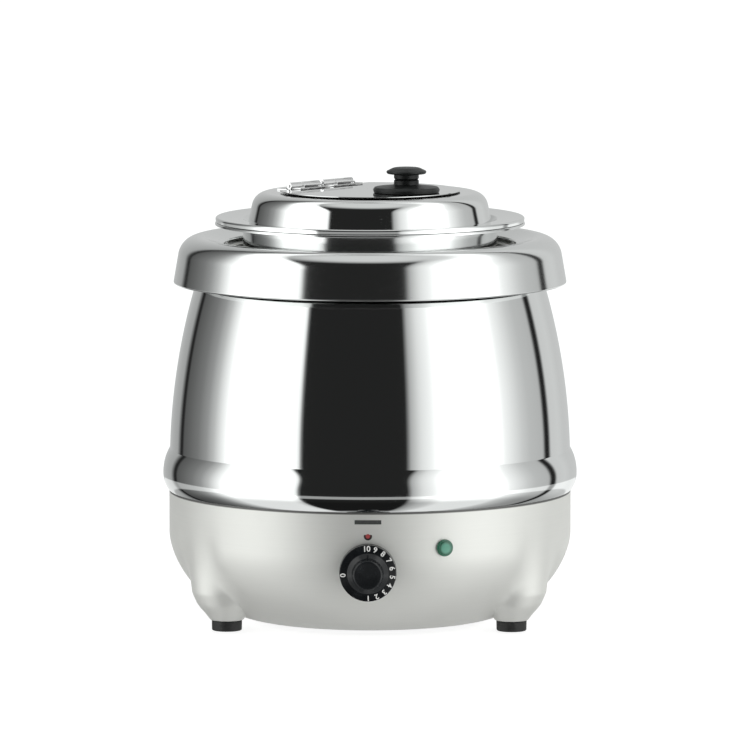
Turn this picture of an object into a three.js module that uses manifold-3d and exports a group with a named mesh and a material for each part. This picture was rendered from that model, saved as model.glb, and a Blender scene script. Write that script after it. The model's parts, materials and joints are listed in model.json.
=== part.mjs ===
// A countertop soup kettle: a heated water pan in a belly-shaped stainless steel casing, a lift-out
// soup pot, a lift-off lid with a hinged flap, and a thermostat dial with a pilot lamp in front.
// Millimetres, +Z up. The origin is on the floor, on the axis of the casing, and the dial faces -Y.
import * as THREE from "three";
import { mergeVertices } from "three/addons/utils/BufferGeometryUtils.js";
import Module from "manifold-3d";

const wasm = await Module();
wasm.setup();

// ---- Driving sizes ----------------------------------------------------------------------------

// General
const SHEET = 0.8; // wall of every drawn or pressed steel shell
const FIT = 0.3; // gap between two pieces that seat on each other
const LARGE_SIDES = 24; // flat sides of the shells
const MEDIUM_SIDES = 18; // flat sides of knobs and discs
const SMALL_SIDES = 10; // flat sides of screws and studs

// Base: a drawn bowl with three pressed-out legs
const BASE_GROUND_GAP = 4.2; // floor to the lowest part of the bowl
const BASE_BOTTOM_RADIUS = 97; // where the bowl starts to curve up
const BASE_CURVE_TOP = 73; // where the bowl's wall becomes upright
const BASE_CURVE_POWER = 1.7; // 2 would be an ellipse, less is flatter
const SEAM_Z = 109; // lower lip of the barrel over the base
const BASE_TUCK = 30; // how far the base runs up inside the barrel
const COVER_RECESS = 4; // bottom cover flange above the bowl's lowest ring
const COVER_RADIUS = 92.4;
const COVER_FLANGE_WIDTH = 13;
const COVER_SCREW_BORE = 1.9;
const VENT_COUNT = 8;
const VENT_RADIUS = 5;
const VENT_CIRCLE = 50;

// Legs and feet
const LEG_COUNT = 3;
const LEG_INSET = 31; // leg axis inside the base wall
const LEG_RADIUS = 30.5;
const FOOT_RADIUS = 12.2;
const FOOT_HEIGHT = 8.4;
const FOOT_RECESS_RADIUS = 5; // for the head of the foot's screw
const FOOT_RECESS_HEIGHT = 3;
const FOOT_BORE = 2.3;
const LEG_RIM = 1.3; // flat end of the leg beyond the foot

// Barrel: the belly between the belt and the mouth
const BELT_OUT = 5; // belt beyond the base wall
const BELT_HEIGHT = 37;
const NECK_IN = 0.7; // barrel above the belt, inside the base radius
const BARREL_TOP_Z = 306; // top face of the flange that carries the pan
const MOUTH_WIDTH = 17.7; // from the pan's wall to the barrel's top edge
const BARREL_CHAMFER = 3; // between the belly and the top flange
const BELLY_BULGE = 6; // belly beyond the straight line from belt to mouth
const MOUTH_LIP = 3.5; // from the pan's wall to the inner edge of the barrel's flange

// Collar: the pressed ring over the joint of barrel and pan
const COLLAR_OVERHANG = 26.6; // beyond the barrel's top edge
const COLLAR_DROP = 27.5; // from the barrel's top to the collar's lower edge
const COLLAR_RISE = 14.2; // ridge line above the pan flange
const COLLAR_SHOULDER = 17; // radius of the collar's shoulder
const COLLAR_LEAN = 7.4; // skirt's top inside its lower edge
const COLLAR_LIP = 3.1; // inner lip outside the pan's inner wall

// Water pan and soup pot
const POT_RADIUS = 104;
const POT_BOTTOM_Z = 52.1;
const NECK_HEIGHT = 22.7; // from the barrel's top to the top of the pot's brim
const BRIM_WIDTH = 23; // of the pot's and the lid's brim beyond the pot's wall
const WATER_GAP = 12.5; // between pot and pan wall
const CASING_GAP = 47.7; // between the pan and the outside of the base
const PAN_BEAD_HEIGHT = 5;
const PAN_CORNER = 20;
const POT_CORNER = 22;

// Lid
const LID_HEIGHT = 24.1; // from the pot's brim to the lid's flat top
const LID_EDGE_HEIGHT = 4; // rolled edge of the lid
const DOME_INSET = 4.4; // foot of the dome inside the pot's radius
const DOME_TAPER = 2.4; // how much narrower the dome is under its shoulder
const DOME_SHOULDER = 11;
const LID_STEP = 2.4; // how deep the lid sinks into the pot's mouth
const LID_OPENING_CHORD = 38; // from the axis to the opening's straight side

// Flap and its hinges
const FLAP_AZIMUTH = 49; // direction of the hinge line, from +X
const HINGE_OFFSET = 55; // hinge line from the lid's axis
const FLAP_MARGIN = 12.2; // from the flap's round edge to the dome's shoulder
const FLAP_OVERLAP = 10; // flap beyond the lid's opening
const FLAP_CHORD_GAP = 5; // flap's straight edge in front of the hinge line
const FLAP_LIFT = 0.9; // under the flap
const HINGE_LENGTH = 36;
const HINGE_SPACING = 40.5; // between the centres of the two hinges
const KNUCKLE_RADIUS = 2.75;
const PIN_RADIUS = 1.4;
const PIN_CLEARANCE = 0.08;
const LEAF_WIDTH = 13;
const FIXED_SHARE = 0.4; // part of the hinge's length that is the fixed knuckle

// Lid knob
const KNOB_DISTANCE = 39.7; // from the lid's axis, away from the hinge
const KNOB_BASE_RADIUS = 27.3;
const KNOB_BASE_HEIGHT = 5.2;
const KNOB_STEM_RADIUS = 10.2;
const KNOB_CAP_RADIUS = 17;
const KNOB_HEIGHT = 20.6;
const KNOB_SCREW_RADIUS = 2;

// Heater
const HEATER_PLATE_RADIUS = 80;
const HEATER_PLATE_THICKNESS = 4;
const ELEMENT_RADIUS = 62;
const ELEMENT_TUBE = 3.7;
const ELEMENT_LEG_GAP = 19; // between the two straight ends
const ELEMENT_LEG_REACH = 98;
const STUD_RADIUS = 3;
const NUT_HEIGHT = 4.5;
const NUT_CORNER = 5.8; // from the stud's axis to a corner

// Thermostat and dial
const DIAL_Z = 61;
const DIAL_RADIUS = 23.5;
const DIAL_STANDOFF = 1; // skirt in front of the widest part of the base
const DIAL_SKIRT = 8.5; // depth of the numbered skirt
const DIAL_HEIGHT = 21.5;
const GRIP_RADIUS = 15.5;
const GRIP_WIDTH = 26; // across the two flats
const SHAFT_RADIUS = 3;
const THERMOSTAT_WIDTH = 40;
const THERMOSTAT_DEPTH = 26;
const THERMOSTAT_BOX_HEIGHT = 24;
const THERMOSTAT_SCREW_GAP = 28;
const THERMOSTAT_BORE = 2.2; // for its two screws
const BULB_RADIUS = 3;
const BULB_LENGTH = 70;
const BULB_AZIMUTH = -40;

// Pilot lamp
const LAMP_AZIMUTH = 21.8; // from the front, towards +X
const LAMP_Z = 79.2;
const LAMP_RADIUS = 6.9;
const LAMP_BODY_RADIUS = 5.2;

// Rear inlet
const GLAND_Z = 88;
const GLAND_REACH = 22.5; // beyond the base wall
const GLAND_BORE = 4;
const TERMINAL_AZIMUTH = 152;
const EARTH_AZIMUTH = 202.5;

// ---- Colours and finishes ---------------------------------------------------------------------

function finish(color, roughness, metalness) {
  return new THREE.MeshStandardMaterial({ color, roughness, metalness });
}
const POLISHED = finish(0xd6d8d8, 0.06, 1);
const SATIN = finish(0xc4c6c2, 0.32, 1);
const ZINC = finish(0xb2b5b8, 0.4, 1);
const ALUMINIUM = finish(0xb9bcc0, 0.5, 1);
const COPPER = finish(0xb87850, 0.35, 1);
const BLACK_PLASTIC = finish(0x17191a, 0.35, 0);
const RUBBER = finish(0x1b1b1c, 0.75, 0);
const GREEN_LENS = finish(0x1f8a63, 0.15, 0);
const CERAMIC = finish(0xe6e1d6, 0.6, 0);


// ---- Sizes that follow ------------------------------------------------------------------------

const PAN_INNER_RADIUS = POT_RADIUS + WATER_GAP;
const PAN_RADIUS = PAN_INNER_RADIUS + SHEET;
const BASE_RADIUS = PAN_RADIUS + CASING_GAP;
const BARREL_TOP_RADIUS = PAN_RADIUS + MOUTH_WIDTH;
const COLLAR_RADIUS = BARREL_TOP_RADIUS + COLLAR_OVERHANG;
const BRIM_RADIUS = POT_RADIUS + BRIM_WIDTH;
const POT_BRIM_Z = BARREL_TOP_Z + NECK_HEIGHT; // top face of the pot's brim
const DOME_RADIUS = POT_RADIUS - DOME_INSET; // at the foot of the dome
const FLAP_RADIUS = DOME_RADIUS - DOME_TAPER - DOME_SHOULDER - FLAP_MARGIN;
const LID_OPENING_RADIUS = FLAP_RADIUS - FLAP_OVERLAP;

// ---- Solids -----------------------------------------------------------------------------------

// A closed geometry as a solid that can be joined and cut.
function solid(geometry) {
  const bare = geometry.index ? geometry.toNonIndexed() : geometry.clone();
  bare.deleteAttribute("normal");
  bare.deleteAttribute("uv");
  const merged = mergeVertices(bare, 1e-4);
  return new wasm.Manifold(
    new wasm.Mesh({
      numProp: 3,
      vertProperties: merged.attributes.position.array,
      triVerts: new Uint32Array(merged.index.array),
    }),
  );
}

function geometryOf(manifold) {
  const mesh = manifold.getMesh();
  const geometry = new THREE.BufferGeometry();
  const positions = new THREE.Float32BufferAttribute(mesh.vertProperties, 3);
  geometry.setAttribute("position", positions);
  geometry.setIndex([...mesh.triVerts]);
  geometry.computeVertexNormals();
  return geometry;
}

function cut(geometry, ...tools) {
  const left = tools.reduce((rest, tool) => rest.subtract(solid(tool)), solid(geometry));
  return geometryOf(left);
}

function join(first, ...others) {
  const whole = others.reduce((sum, other) => sum.add(solid(other)), solid(first));
  return geometryOf(whole);
}

// ---- Outlines, as points [radius, height] ------------------------------------------------------

// Corners [radius, height, fillet] as a line whose corners are rounded by arcs.
function rounded(corners, steps = 2) {
  const points = [];
  corners.forEach(([x, y, fillet = 0], i) => {
    const corner = new THREE.Vector2(x, y);
    if (!fillet || i === 0 || i === corners.length - 1) {
      points.push(corner);
      return;
    }
    const back = new THREE.Vector2(...corners[i - 1].slice(0, 2)).sub(corner);
    const ahead = new THREE.Vector2(...corners[i + 1].slice(0, 2)).sub(corner);
    const half = back.angleTo(ahead) / 2;
    const reach = fillet / Math.tan(half);
    const start = corner.clone().addScaledVector(back.normalize(), reach);
    const end = corner.clone().addScaledVector(ahead.normalize(), reach);
    const middle = back.add(ahead).normalize();
    const centre = corner.clone().addScaledVector(middle, fillet / Math.sin(half));
    const from = start.clone().sub(centre);
    const sweep = Math.atan2(from.cross(end.clone().sub(centre)), from.dot(end.clone().sub(centre)));
    for (let step = 0; step <= steps; step++) {
      const turned = from.clone().rotateAround(new THREE.Vector2(), (sweep * step) / steps);
      points.push(centre.clone().add(turned));
    }
  });
  return points;
}

// An arc from one point to another that bulges to the right of the way by the given height.
function bulgedArc(from, to, bulge, steps) {
  const way = to.clone().sub(from);
  const radius = (way.lengthSq() / 4 + bulge * bulge) / (2 * bulge);
  const middle = from.clone().add(to).multiplyScalar(0.5);
  const left = new THREE.Vector2(-way.y, way.x).normalize();
  const centre = middle.addScaledVector(left, radius - bulge);
  const start = from.clone().sub(centre);
  const sweep = 2 * Math.asin(way.length() / 2 / radius);
  return Array.from({ length: steps + 1 }, (_, step) =>
    centre.clone().add(start.clone().rotateAround(new THREE.Vector2(), (sweep * step) / steps)),
  );
}

// The line moved to its left by a distance, with mitred corners.
function moved(points, distance) {
  return points.map((point, i) => {
    const ways = [];
    if (i > 0) ways.push(point.clone().sub(points[i - 1]).normalize());
    if (i < points.length - 1) ways.push(points[i + 1].clone().sub(point).normalize());
    const lefts = ways.map((way) => new THREE.Vector2(-way.y, way.x));
    const sum = lefts.reduce((a, b) => a.clone().add(b));
    const mitre = lefts.length === 1 ? 1 : 2 / sum.lengthSq();
    return point.clone().addScaledVector(sum, distance * mitre);
  });
}

// A solid turned about the Z axis from a closed outline.
function turned(points, sides = LARGE_SIDES) {
  const outline = THREE.ShapeUtils.area(points) < 0 ? [...points].reverse() : points;
  return new THREE.LatheGeometry([...outline, outline[0]], sides).rotateX(Math.PI / 2);
}

// A sheet of the given wall, to the left of the outline, turned about the Z axis.
function shell(points, wall = SHEET) {
  return turned([...points, ...moved(points, wall).reverse()]);
}

// ---- Small shapes ------------------------------------------------------------------------------

function points2(...pairs) {
  return pairs.map(([x, y]) => new THREE.Vector2(x, y));
}

// A round bar between two heights, with its axis at (x, y).
function bar(radius, low, high, x = 0, y = 0, sides = SMALL_SIDES) {
  const cylinder = new THREE.CylinderGeometry(radius, radius, high - low, sides);
  return cylinder.rotateX(Math.PI / 2).translate(x, y, (low + high) / 2);
}

// A box between two corners.
function block(low, high) {
  const size = low.map((value, i) => high[i] - value);
  const centre = low.map((value, i) => (high[i] + value) / 2);
  return new THREE.BoxGeometry(...size).translate(...centre);
}

function ring(inner, outer, low, high, sides = SMALL_SIDES) {
  return turned(points2([inner, low], [outer, low], [outer, high], [inner, high]), sides);
}

function hexNut(boreRadius, cornerRadius, low, high) {
  return cut(bar(cornerRadius, low, high, 0, 0, 6), bar(boreRadius, low - 1, high + 1));
}

// A pan-head screw along Z: its head lies between headLow and headHigh, its shank ends at the tip.
function screw(headRadius, headLow, headHigh, shankRadius, tip) {
  const headUp = tip < headLow;
  const [under, top] = headUp ? [headLow, headHigh] : [headHigh, headLow];
  const shoulder = top + (under - top) * 0.35;
  return turned(
    points2(
      [0, top],
      [headRadius * 0.75, top],
      [headRadius, shoulder],
      [headRadius, under],
      [shankRadius, under],
      [shankRadius, tip],
      [0, tip],
    ),
    SMALL_SIDES,
  );
}

// A round tube along a smooth line through points.
function tubeThrough(points, radius, sides, steps) {
  const section = new THREE.Shape();
  for (let side = 0; side < sides; side++) {
    const angle = (2 * Math.PI * side) / sides;
    const corner = [radius * Math.cos(angle), radius * Math.sin(angle)];
    if (side === 0) section.moveTo(...corner);
    else section.lineTo(...corner);
  }
  const path = new THREE.CatmullRomCurve3(points.map((point) => new THREE.Vector3(...point)));
  return new THREE.ExtrudeGeometry(section, { steps, extrudePath: path, bevelEnabled: false });
}

// ---- Scene graph -------------------------------------------------------------------------------

const kettle = new THREE.Group();

function piece(parent, name, geometry, material) {
  const mesh = new THREE.Mesh(geometry, material);
  mesh.name = name;
  parent.add(mesh);
  return mesh;
}

// A group on the base wall: its +Z points outwards, +Y up, and its origin is on the wall.
// The azimuth is counted from the front (-Y) towards +X.
function onWall(azimuth, z, radius = BASE_RADIUS) {
  const group = new THREE.Group();
  const angle = THREE.MathUtils.degToRad(azimuth);
  group.rotation.set(Math.PI / 2, 0, angle, "ZYX");
  group.position.set(radius * Math.sin(angle), -radius * Math.cos(angle), z);
  kettle.add(group);
  return group;
}

// ---- Base --------------------------------------------------------------------------------------

// How far the middle of a flat side of the base lies inside its radius.
const FACET_DEPTH = BASE_RADIUS * (1 - Math.cos(Math.PI / LARGE_SIDES));
// From the base radius to a nut or bracket that lies flat against the inside of the wall.
const WALL_BACK = SHEET + FACET_DEPTH + 2 * FIT;
const GLAND_THREAD = 6;
const COVER_FLANGE_Z = BASE_GROUND_GAP + COVER_RECESS;
const COVER_FLANGE_RADIUS = COVER_RADIUS + 2 * FIT;
const COVER_SCREW_RADIUS = COVER_RADIUS - COVER_FLANGE_WIDTH / 2;
const LEG_BOTTOM_Z = FOOT_HEIGHT + FIT;
const LEG_CENTRE = BASE_RADIUS - LEG_INSET;
const LEG_AZIMUTHS = Array.from({ length: LEG_COUNT }, (_, i) => 180 + (360 / LEG_COUNT) * i);
const BASE_TOP_Z = SEAM_Z + BASE_TUCK;

function polar(radius, azimuth) {
  const angle = THREE.MathUtils.degToRad(azimuth);
  return [radius * Math.sin(angle), -radius * Math.cos(angle)];
}

// The bowl's outer face, from the flange of the bottom cover to the top edge.
function bowlOutline() {
  const curve = [];
  const steps = 7;
  const across = BASE_RADIUS - BASE_BOTTOM_RADIUS;
  const up = BASE_CURVE_TOP - BASE_GROUND_GAP;
  for (let step = 0; step <= steps; step++) {
    const angle = ((Math.PI / 2) * step) / steps;
    const outwards = Math.sin(angle) ** (2 / BASE_CURVE_POWER);
    const downwards = Math.cos(angle) ** (2 / BASE_CURVE_POWER);
    curve.push([BASE_BOTTOM_RADIUS + across * outwards, BASE_CURVE_TOP - up * downwards]);
  }
  return points2(
    [COVER_FLANGE_RADIUS - COVER_FLANGE_WIDTH, COVER_FLANGE_Z],
    [COVER_FLANGE_RADIUS, COVER_FLANGE_Z],
    [COVER_FLANGE_RADIUS + SHEET, BASE_GROUND_GAP],
    ...curve,
    [BASE_RADIUS, BASE_TOP_Z],
  );
}

// A leg's face, about the leg's own axis: a cup that runs up into the bowl.
function legOutline() {
  const rim = FOOT_RADIUS + LEG_RIM;
  return rounded(
    [
      [0, LEG_BOTTOM_Z],
      [rim, LEG_BOTTOM_Z, 1.5],
      [LEG_RADIUS, LEG_BOTTOM_Z + LEG_RADIUS - rim + 2, 16],
      [LEG_RADIUS, BASE_CURVE_TOP],
    ],
    3,
  );
}

function legSolid(outline, azimuth) {
  const [x, y] = polar(LEG_CENTRE, azimuth);
  const closed = [...outline, new THREE.Vector2(0, outline.at(-1).y)];
  return turned(closed, 16).translate(x, y, 0);
}

function filledBowl(outline, top) {
  const floor = outline[0].y;
  const wall = outline.at(-1).x;
  return turned([new THREE.Vector2(0, floor), ...outline.slice(1, -1), ...points2([wall, top], [0, top])]);
}

function baseShell() {
  const outer = bowlOutline();
  const inner = moved(outer, SHEET);
  const leg = legOutline();
  const innerLeg = moved(leg, SHEET);
  let body = solid(filledBowl(outer, BASE_TOP_Z));
  let hollow = solid(filledBowl(inner, BASE_TOP_Z + 1));
  for (const azimuth of LEG_AZIMUTHS) {
    body = body.add(solid(legSolid(leg, azimuth)));
    hollow = hollow.add(solid(legSolid(innerLeg, azimuth)));
  }
  const [dialHole, lampHole, glandHole] = [
    onWallTool(0, DIAL_Z, bar(SHAFT_RADIUS + 2, -20, 8)),
    onWallTool(LAMP_AZIMUTH, LAMP_Z, bar(LAMP_BODY_RADIUS + FIT, -8, 8)),
    onWallTool(180, GLAND_Z, bar(GLAND_THREAD + FIT, -8, 8)),
  ];
  const holes = [
    dialHole,
    lampHole,
    glandHole,
    bar(COVER_FLANGE_RADIUS - COVER_FLANGE_WIDTH, 0, COVER_FLANGE_Z + 3, 0, 0, LARGE_SIDES),
    ...LEG_AZIMUTHS.map((azimuth) => bar(FOOT_BORE, 0, LEG_BOTTOM_Z + 3, ...polar(LEG_CENTRE, azimuth))),
    ...coverScrewPlaces().map(([x, y]) => bar(COVER_SCREW_BORE, 0, COVER_FLANGE_Z + 3, x, y)),
    ...[-1, 1].map((side) =>
      onWallTool(0, DIAL_Z, bar(THERMOSTAT_BORE, -20, 8, (side * THERMOSTAT_SCREW_GAP) / 2, 0)),
    ),
  ];
  return cut(geometryOf(body.subtract(hollow)), ...holes);
}

// A tool made in the frame of onWall, moved to the part's own frame.
function onWallTool(azimuth, z, geometry) {
  const group = onWall(azimuth, z);
  group.updateMatrixWorld(true);
  geometry.applyMatrix4(group.matrixWorld);
  kettle.remove(group);
  return geometry;
}

function coverScrewPlaces() {
  return [60, 180, 300].map((azimuth) => polar(COVER_SCREW_RADIUS, azimuth));
}

function bottomCover() {
  const top = COVER_FLANGE_Z - FIT;
  const vents = Array.from({ length: VENT_COUNT }, (_, i) =>
    bar(VENT_RADIUS, 0, top + 1, ...polar(VENT_CIRCLE, (360 / VENT_COUNT) * i), 6),
  );
  const screwHoles = coverScrewPlaces().map(([x, y]) => bar(COVER_SCREW_BORE, 0, top + 1, x, y));
  return cut(bar(COVER_RADIUS, top - SHEET, top, 0, 0, LARGE_SIDES), ...vents, ...screwHoles);
}

function foot() {
  return turned(
    points2(
      [FOOT_RECESS_RADIUS, 0],
      [FOOT_RADIUS - 0.8, 0],
      [FOOT_RADIUS, 1.2],
      [FOOT_RADIUS, FOOT_HEIGHT - 0.6],
      [FOOT_RADIUS - 0.6, FOOT_HEIGHT],
      [FOOT_BORE, FOOT_HEIGHT],
      [FOOT_BORE, FOOT_RECESS_HEIGHT],
      [FOOT_RECESS_RADIUS, FOOT_RECESS_HEIGHT],
    ),
    16,
  );
}

piece(kettle, "base_shell", baseShell(), SATIN);
piece(kettle, "bottom_cover", bottomCover(), ZINC);
coverScrewPlaces().forEach(([x, y], i) => {
  const under = COVER_FLANGE_Z - 2 * FIT - SHEET;
  const geometry = screw(3.2, under - 1.9, under, 1.6, COVER_FLANGE_Z + 5);
  piece(kettle, `cover_screw_${i + 1}`, geometry.translate(x, y, 0), ZINC);
});
LEG_AZIMUTHS.forEach((azimuth, i) => {
  const side = ["rear", "right", "left"][i];
  const leg = new THREE.Group();
  leg.position.set(...polar(LEG_CENTRE, azimuth), 0);
  kettle.add(leg);
  const seat = LEG_BOTTOM_Z + SHEET + FIT;
  piece(leg, `foot_${side}`, foot(), RUBBER);
  piece(leg, `foot_screw_${side}`, screw(4, 0.7, FOOT_RECESS_HEIGHT - FIT, 2, seat + 4.2), ZINC);
  piece(leg, `foot_nut_${side}`, hexNut(2.1, 4, seat, seat + 3.2), ZINC);
});

// ---- Barrel and collar -------------------------------------------------------------------------

const BELT_TOP_Z = SEAM_Z + BELT_HEIGHT;
const MOUTH_RADIUS = PAN_RADIUS + MOUTH_LIP;
const PAN_FLANGE_Z = BARREL_TOP_Z + FIT; // underside of the pan's flange

function barrelShell() {
  const neck = [BASE_RADIUS - NECK_IN, BELT_TOP_Z];
  const belt = rounded(
    [
      [BASE_RADIUS + 2 * FIT, SEAM_Z],
      [BASE_RADIUS + 2.4, SEAM_Z, 1.2],
      [BASE_RADIUS + BELT_OUT, SEAM_Z + 9, 6],
      [BASE_RADIUS + BELT_OUT - 0.4, SEAM_Z + 20, 6],
      neck,
    ],
    1,
  );
  const shoulder = [BARREL_TOP_RADIUS, BARREL_TOP_Z - BARREL_CHAMFER];
  const belly = bulgedArc(new THREE.Vector2(...neck), new THREE.Vector2(...shoulder), BELLY_BULGE, 5);
  const flange = rounded([
    shoulder,
    [BARREL_TOP_RADIUS - BARREL_CHAMFER, BARREL_TOP_Z],
    [MOUTH_RADIUS, BARREL_TOP_Z],
  ]);
  return shell([...belt, ...belly.slice(1), ...flange.slice(1)]);
}

function collarRing() {
  const lipRadius = PAN_INNER_RADIUS + COLLAR_LIP;
  const lipZ = PAN_FLANGE_Z + SHEET + FIT;
  const bottom = BARREL_TOP_Z - COLLAR_DROP;
  return shell(
    rounded(
      [
        [COLLAR_RADIUS - 3, bottom],
        [COLLAR_RADIUS, bottom, 1.4],
        [COLLAR_RADIUS - COLLAR_LEAN, lipZ + COLLAR_RISE, COLLAR_SHOULDER],
        [lipRadius, lipZ + 4, 1.2],
        [lipRadius, lipZ],
      ],
      3,
    ),
  );
}

piece(kettle, "barrel_shell", barrelShell(), POLISHED);
piece(kettle, "collar_ring", collarRing(), POLISHED);

// ---- Water pan and heater ----------------------------------------------------------------------

const PAN_FLOOR_Z = POT_BOTTOM_Z - FIT - SHEET - PAN_BEAD_HEIGHT; // underside of the pan's floor
const PAN_FLANGE_RADIUS = BARREL_TOP_RADIUS - 5;

function waterPan() {
  const bead = POT_RADIUS - POT_CORNER - 18;
  return shell(
    rounded([
      [0, PAN_FLOOR_Z],
      [bead - 4, PAN_FLOOR_Z],
      [bead - 1.5, PAN_FLOOR_Z + PAN_BEAD_HEIGHT],
      [bead + 1.5, PAN_FLOOR_Z + PAN_BEAD_HEIGHT],
      [bead + 4, PAN_FLOOR_Z],
      [PAN_RADIUS, PAN_FLOOR_Z, PAN_CORNER],
      [PAN_RADIUS, PAN_FLANGE_Z],
      [PAN_FLANGE_RADIUS, PAN_FLANGE_Z],
    ]),
  );
}

function heatingElement(z) {
  const half = ELEMENT_LEG_GAP / 2;
  const gap = Math.asin(half / ELEMENT_RADIUS) + 0.12;
  const bends = 14;
  const loop = Array.from({ length: bends + 1 }, (_, i) => {
    const angle = Math.PI / 2 - gap - ((2 * Math.PI - 2 * gap) * i) / bends;
    return [ELEMENT_RADIUS * Math.cos(angle), ELEMENT_RADIUS * Math.sin(angle), z];
  });
  const points = [
    [half, ELEMENT_LEG_REACH, z],
    [half, ELEMENT_RADIUS + 12, z],
    ...loop,
    [-half, ELEMENT_RADIUS + 12, z],
    [-half, ELEMENT_LEG_REACH, z],
  ];
  return tubeThrough(points, ELEMENT_TUBE, 6, 36);
}

function studNut(low) {
  return hexNut(STUD_RADIUS + 0.1, NUT_CORNER, low, low + NUT_HEIGHT);
}

function buildHeater() {
  const plateTop = PAN_FLOOR_Z - FIT;
  const plateLow = plateTop - HEATER_PLATE_THICKNESS;
  const elementZ = plateLow - FIT - ELEMENT_TUBE;
  const clampTop = elementZ - ELEMENT_TUBE - FIT;
  const clampLow = clampTop - 1;
  const nutLow = clampLow - FIT - NUT_HEIGHT;
  const shieldLow = nutLow - FIT - SHEET;
  const lastNutLow = shieldLow - FIT - NUT_HEIGHT;
  const bore = STUD_RADIUS + FIT;
  const clampRadius = ELEMENT_RADIUS + ELEMENT_TUBE + 6;
  const shieldRadius = HEATER_PLATE_RADIUS + 16;
  const shieldLine = [[bore, shieldLow], [shieldRadius, shieldLow, 2], [shieldRadius + 2, shieldLow + 5]];
  const plate = ring(bore, HEATER_PLATE_RADIUS, plateLow, plateTop, MEDIUM_SIDES);
  const clamp = ring(bore, clampRadius, clampLow, clampTop, MEDIUM_SIDES);
  piece(kettle, "heater_plate", plate, ALUMINIUM);
  piece(kettle, "heating_element", heatingElement(elementZ), ZINC);
  piece(kettle, "heater_clamp", clamp, ZINC);
  piece(kettle, "heater_stud", bar(STUD_RADIUS, lastNutLow - 2, plateTop), ZINC);
  piece(kettle, "heater_nut", studNut(nutLow), ZINC);
  piece(kettle, "heat_shield", shell(rounded(shieldLine, 1)), ALUMINIUM);
  piece(kettle, "shield_nut", studNut(lastNutLow), ZINC);
  piece(kettle, "thermal_cutout", thermalCutout(plateTop), CERAMIC);
}

// A snap-disc cut-out: a metal cap against the pan's floor, with two tabs below.
function thermalCutout(top) {
  const [x, y] = polar(HEATER_PLATE_RADIUS + 9, -60);
  const body = bar(8, top - 8, top, x, y);
  const tabs = [-3, 3].map((side) =>
    block([x + side - 1.5, y - 0.4, top - 12], [x + side + 1.5, y + 0.4, top - 7]),
  );
  return join(body, ...tabs);
}

piece(kettle, "water_pan", waterPan(), SATIN);
buildHeater();

// ---- Thermostat and dial -----------------------------------------------------------------------

const SPACER_RADIUS = 3.6;
const THERMOSTAT_LOW = 1 - THERMOSTAT_BOX_HEIGHT / 2; // from the dial's height
const PLATE_HALF = THERMOSTAT_WIDTH / 2 + 3;
// The flat plate stands far enough inside the base radius for its lower corners to clear the bowl.
const PLATE_DEPTH = WALL_BACK - wallDepth(PLATE_HALF, DIAL_Z + THERMOSTAT_LOW);

function buildThermostat() {
  const front = onWall(0, DIAL_Z);
  const boxHalf = THERMOSTAT_WIDTH / 2;
  const boxLow = THERMOSTAT_LOW;
  const boxHigh = boxLow + THERMOSTAT_BOX_HEIGHT;
  const screwX = THERMOSTAT_SCREW_GAP / 2;
  const plate = cut(
    block([-PLATE_HALF, boxLow, -PLATE_DEPTH - 1], [PLATE_HALF, boxHigh, -PLATE_DEPTH]),
    bar(SHAFT_RADIUS + 1.5, -PLATE_DEPTH - 2, -PLATE_DEPTH + 1),
    bar(2.1, -PLATE_DEPTH - 2, -PLATE_DEPTH + 1, -screwX),
    bar(2.1, -PLATE_DEPTH - 2, -PLATE_DEPTH + 1, screwX),
  );
  const boxFront = -PLATE_DEPTH - 1 - FIT;
  const shaftEnd = boxFront - 9;
  const box = cut(
    block([-boxHalf, boxLow, boxFront - THERMOSTAT_DEPTH], [boxHalf, boxHigh, boxFront]),
    bar(SHAFT_RADIUS + FIT, shaftEnd - FIT, boxFront + 1),
    bar(2.1, boxFront - 4, boxFront + 1, -screwX),
    bar(2.1, boxFront - 4, boxFront + 1, screwX),
  );
  piece(front, "thermostat_plate", plate, ZINC);
  piece(front, "thermostat_body", box, CERAMIC);
  for (const [side, sign] of [["left", -1], ["right", 1]]) {
    const wall = wallDepth(screwX, DIAL_Z + SPACER_RADIUS);
    const behind = wallDepth(screwX + SPACER_RADIUS, DIAL_Z - SPACER_RADIUS) - FACET_DEPTH - SHEET;
    const spacer = ring(2.3, SPACER_RADIUS, -PLATE_DEPTH + FIT, behind - FIT);
    const bolt = screw(SPACER_RADIUS, wall + FIT, wall + FIT + 1.8, 1.9, boxFront - 3);
    piece(front, `thermostat_spacer_${side}`, spacer.translate(sign * screwX, 0, 0), ZINC);
    piece(front, `thermostat_screw_${side}`, bolt.translate(sign * screwX, 0, 0), ZINC);
  }
  const dial = new THREE.Group();
  dial.position.z = DIAL_STANDOFF;
  front.add(dial);
  piece(dial, "control_dial", controlDial(), BLACK_PLASTIC);
  piece(dial, "dial_shaft", bar(SHAFT_RADIUS, shaftEnd - DIAL_STANDOFF, DIAL_HEIGHT - 8), ZINC);
}

// Depth of the bowl's outer face behind the widest part of the base, at a place on the front.
function wallDepth(x, z) {
  const share = (BASE_CURVE_TOP - z) / (BASE_CURVE_TOP - BASE_GROUND_GAP);
  const rest = share > 0 ? (1 - share ** BASE_CURVE_POWER) ** (1 / BASE_CURVE_POWER) : 1;
  const radius = BASE_BOTTOM_RADIUS + (BASE_RADIUS - BASE_BOTTOM_RADIUS) * rest;
  return Math.sqrt(radius * radius - x * x) - BASE_RADIUS;
}

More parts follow.
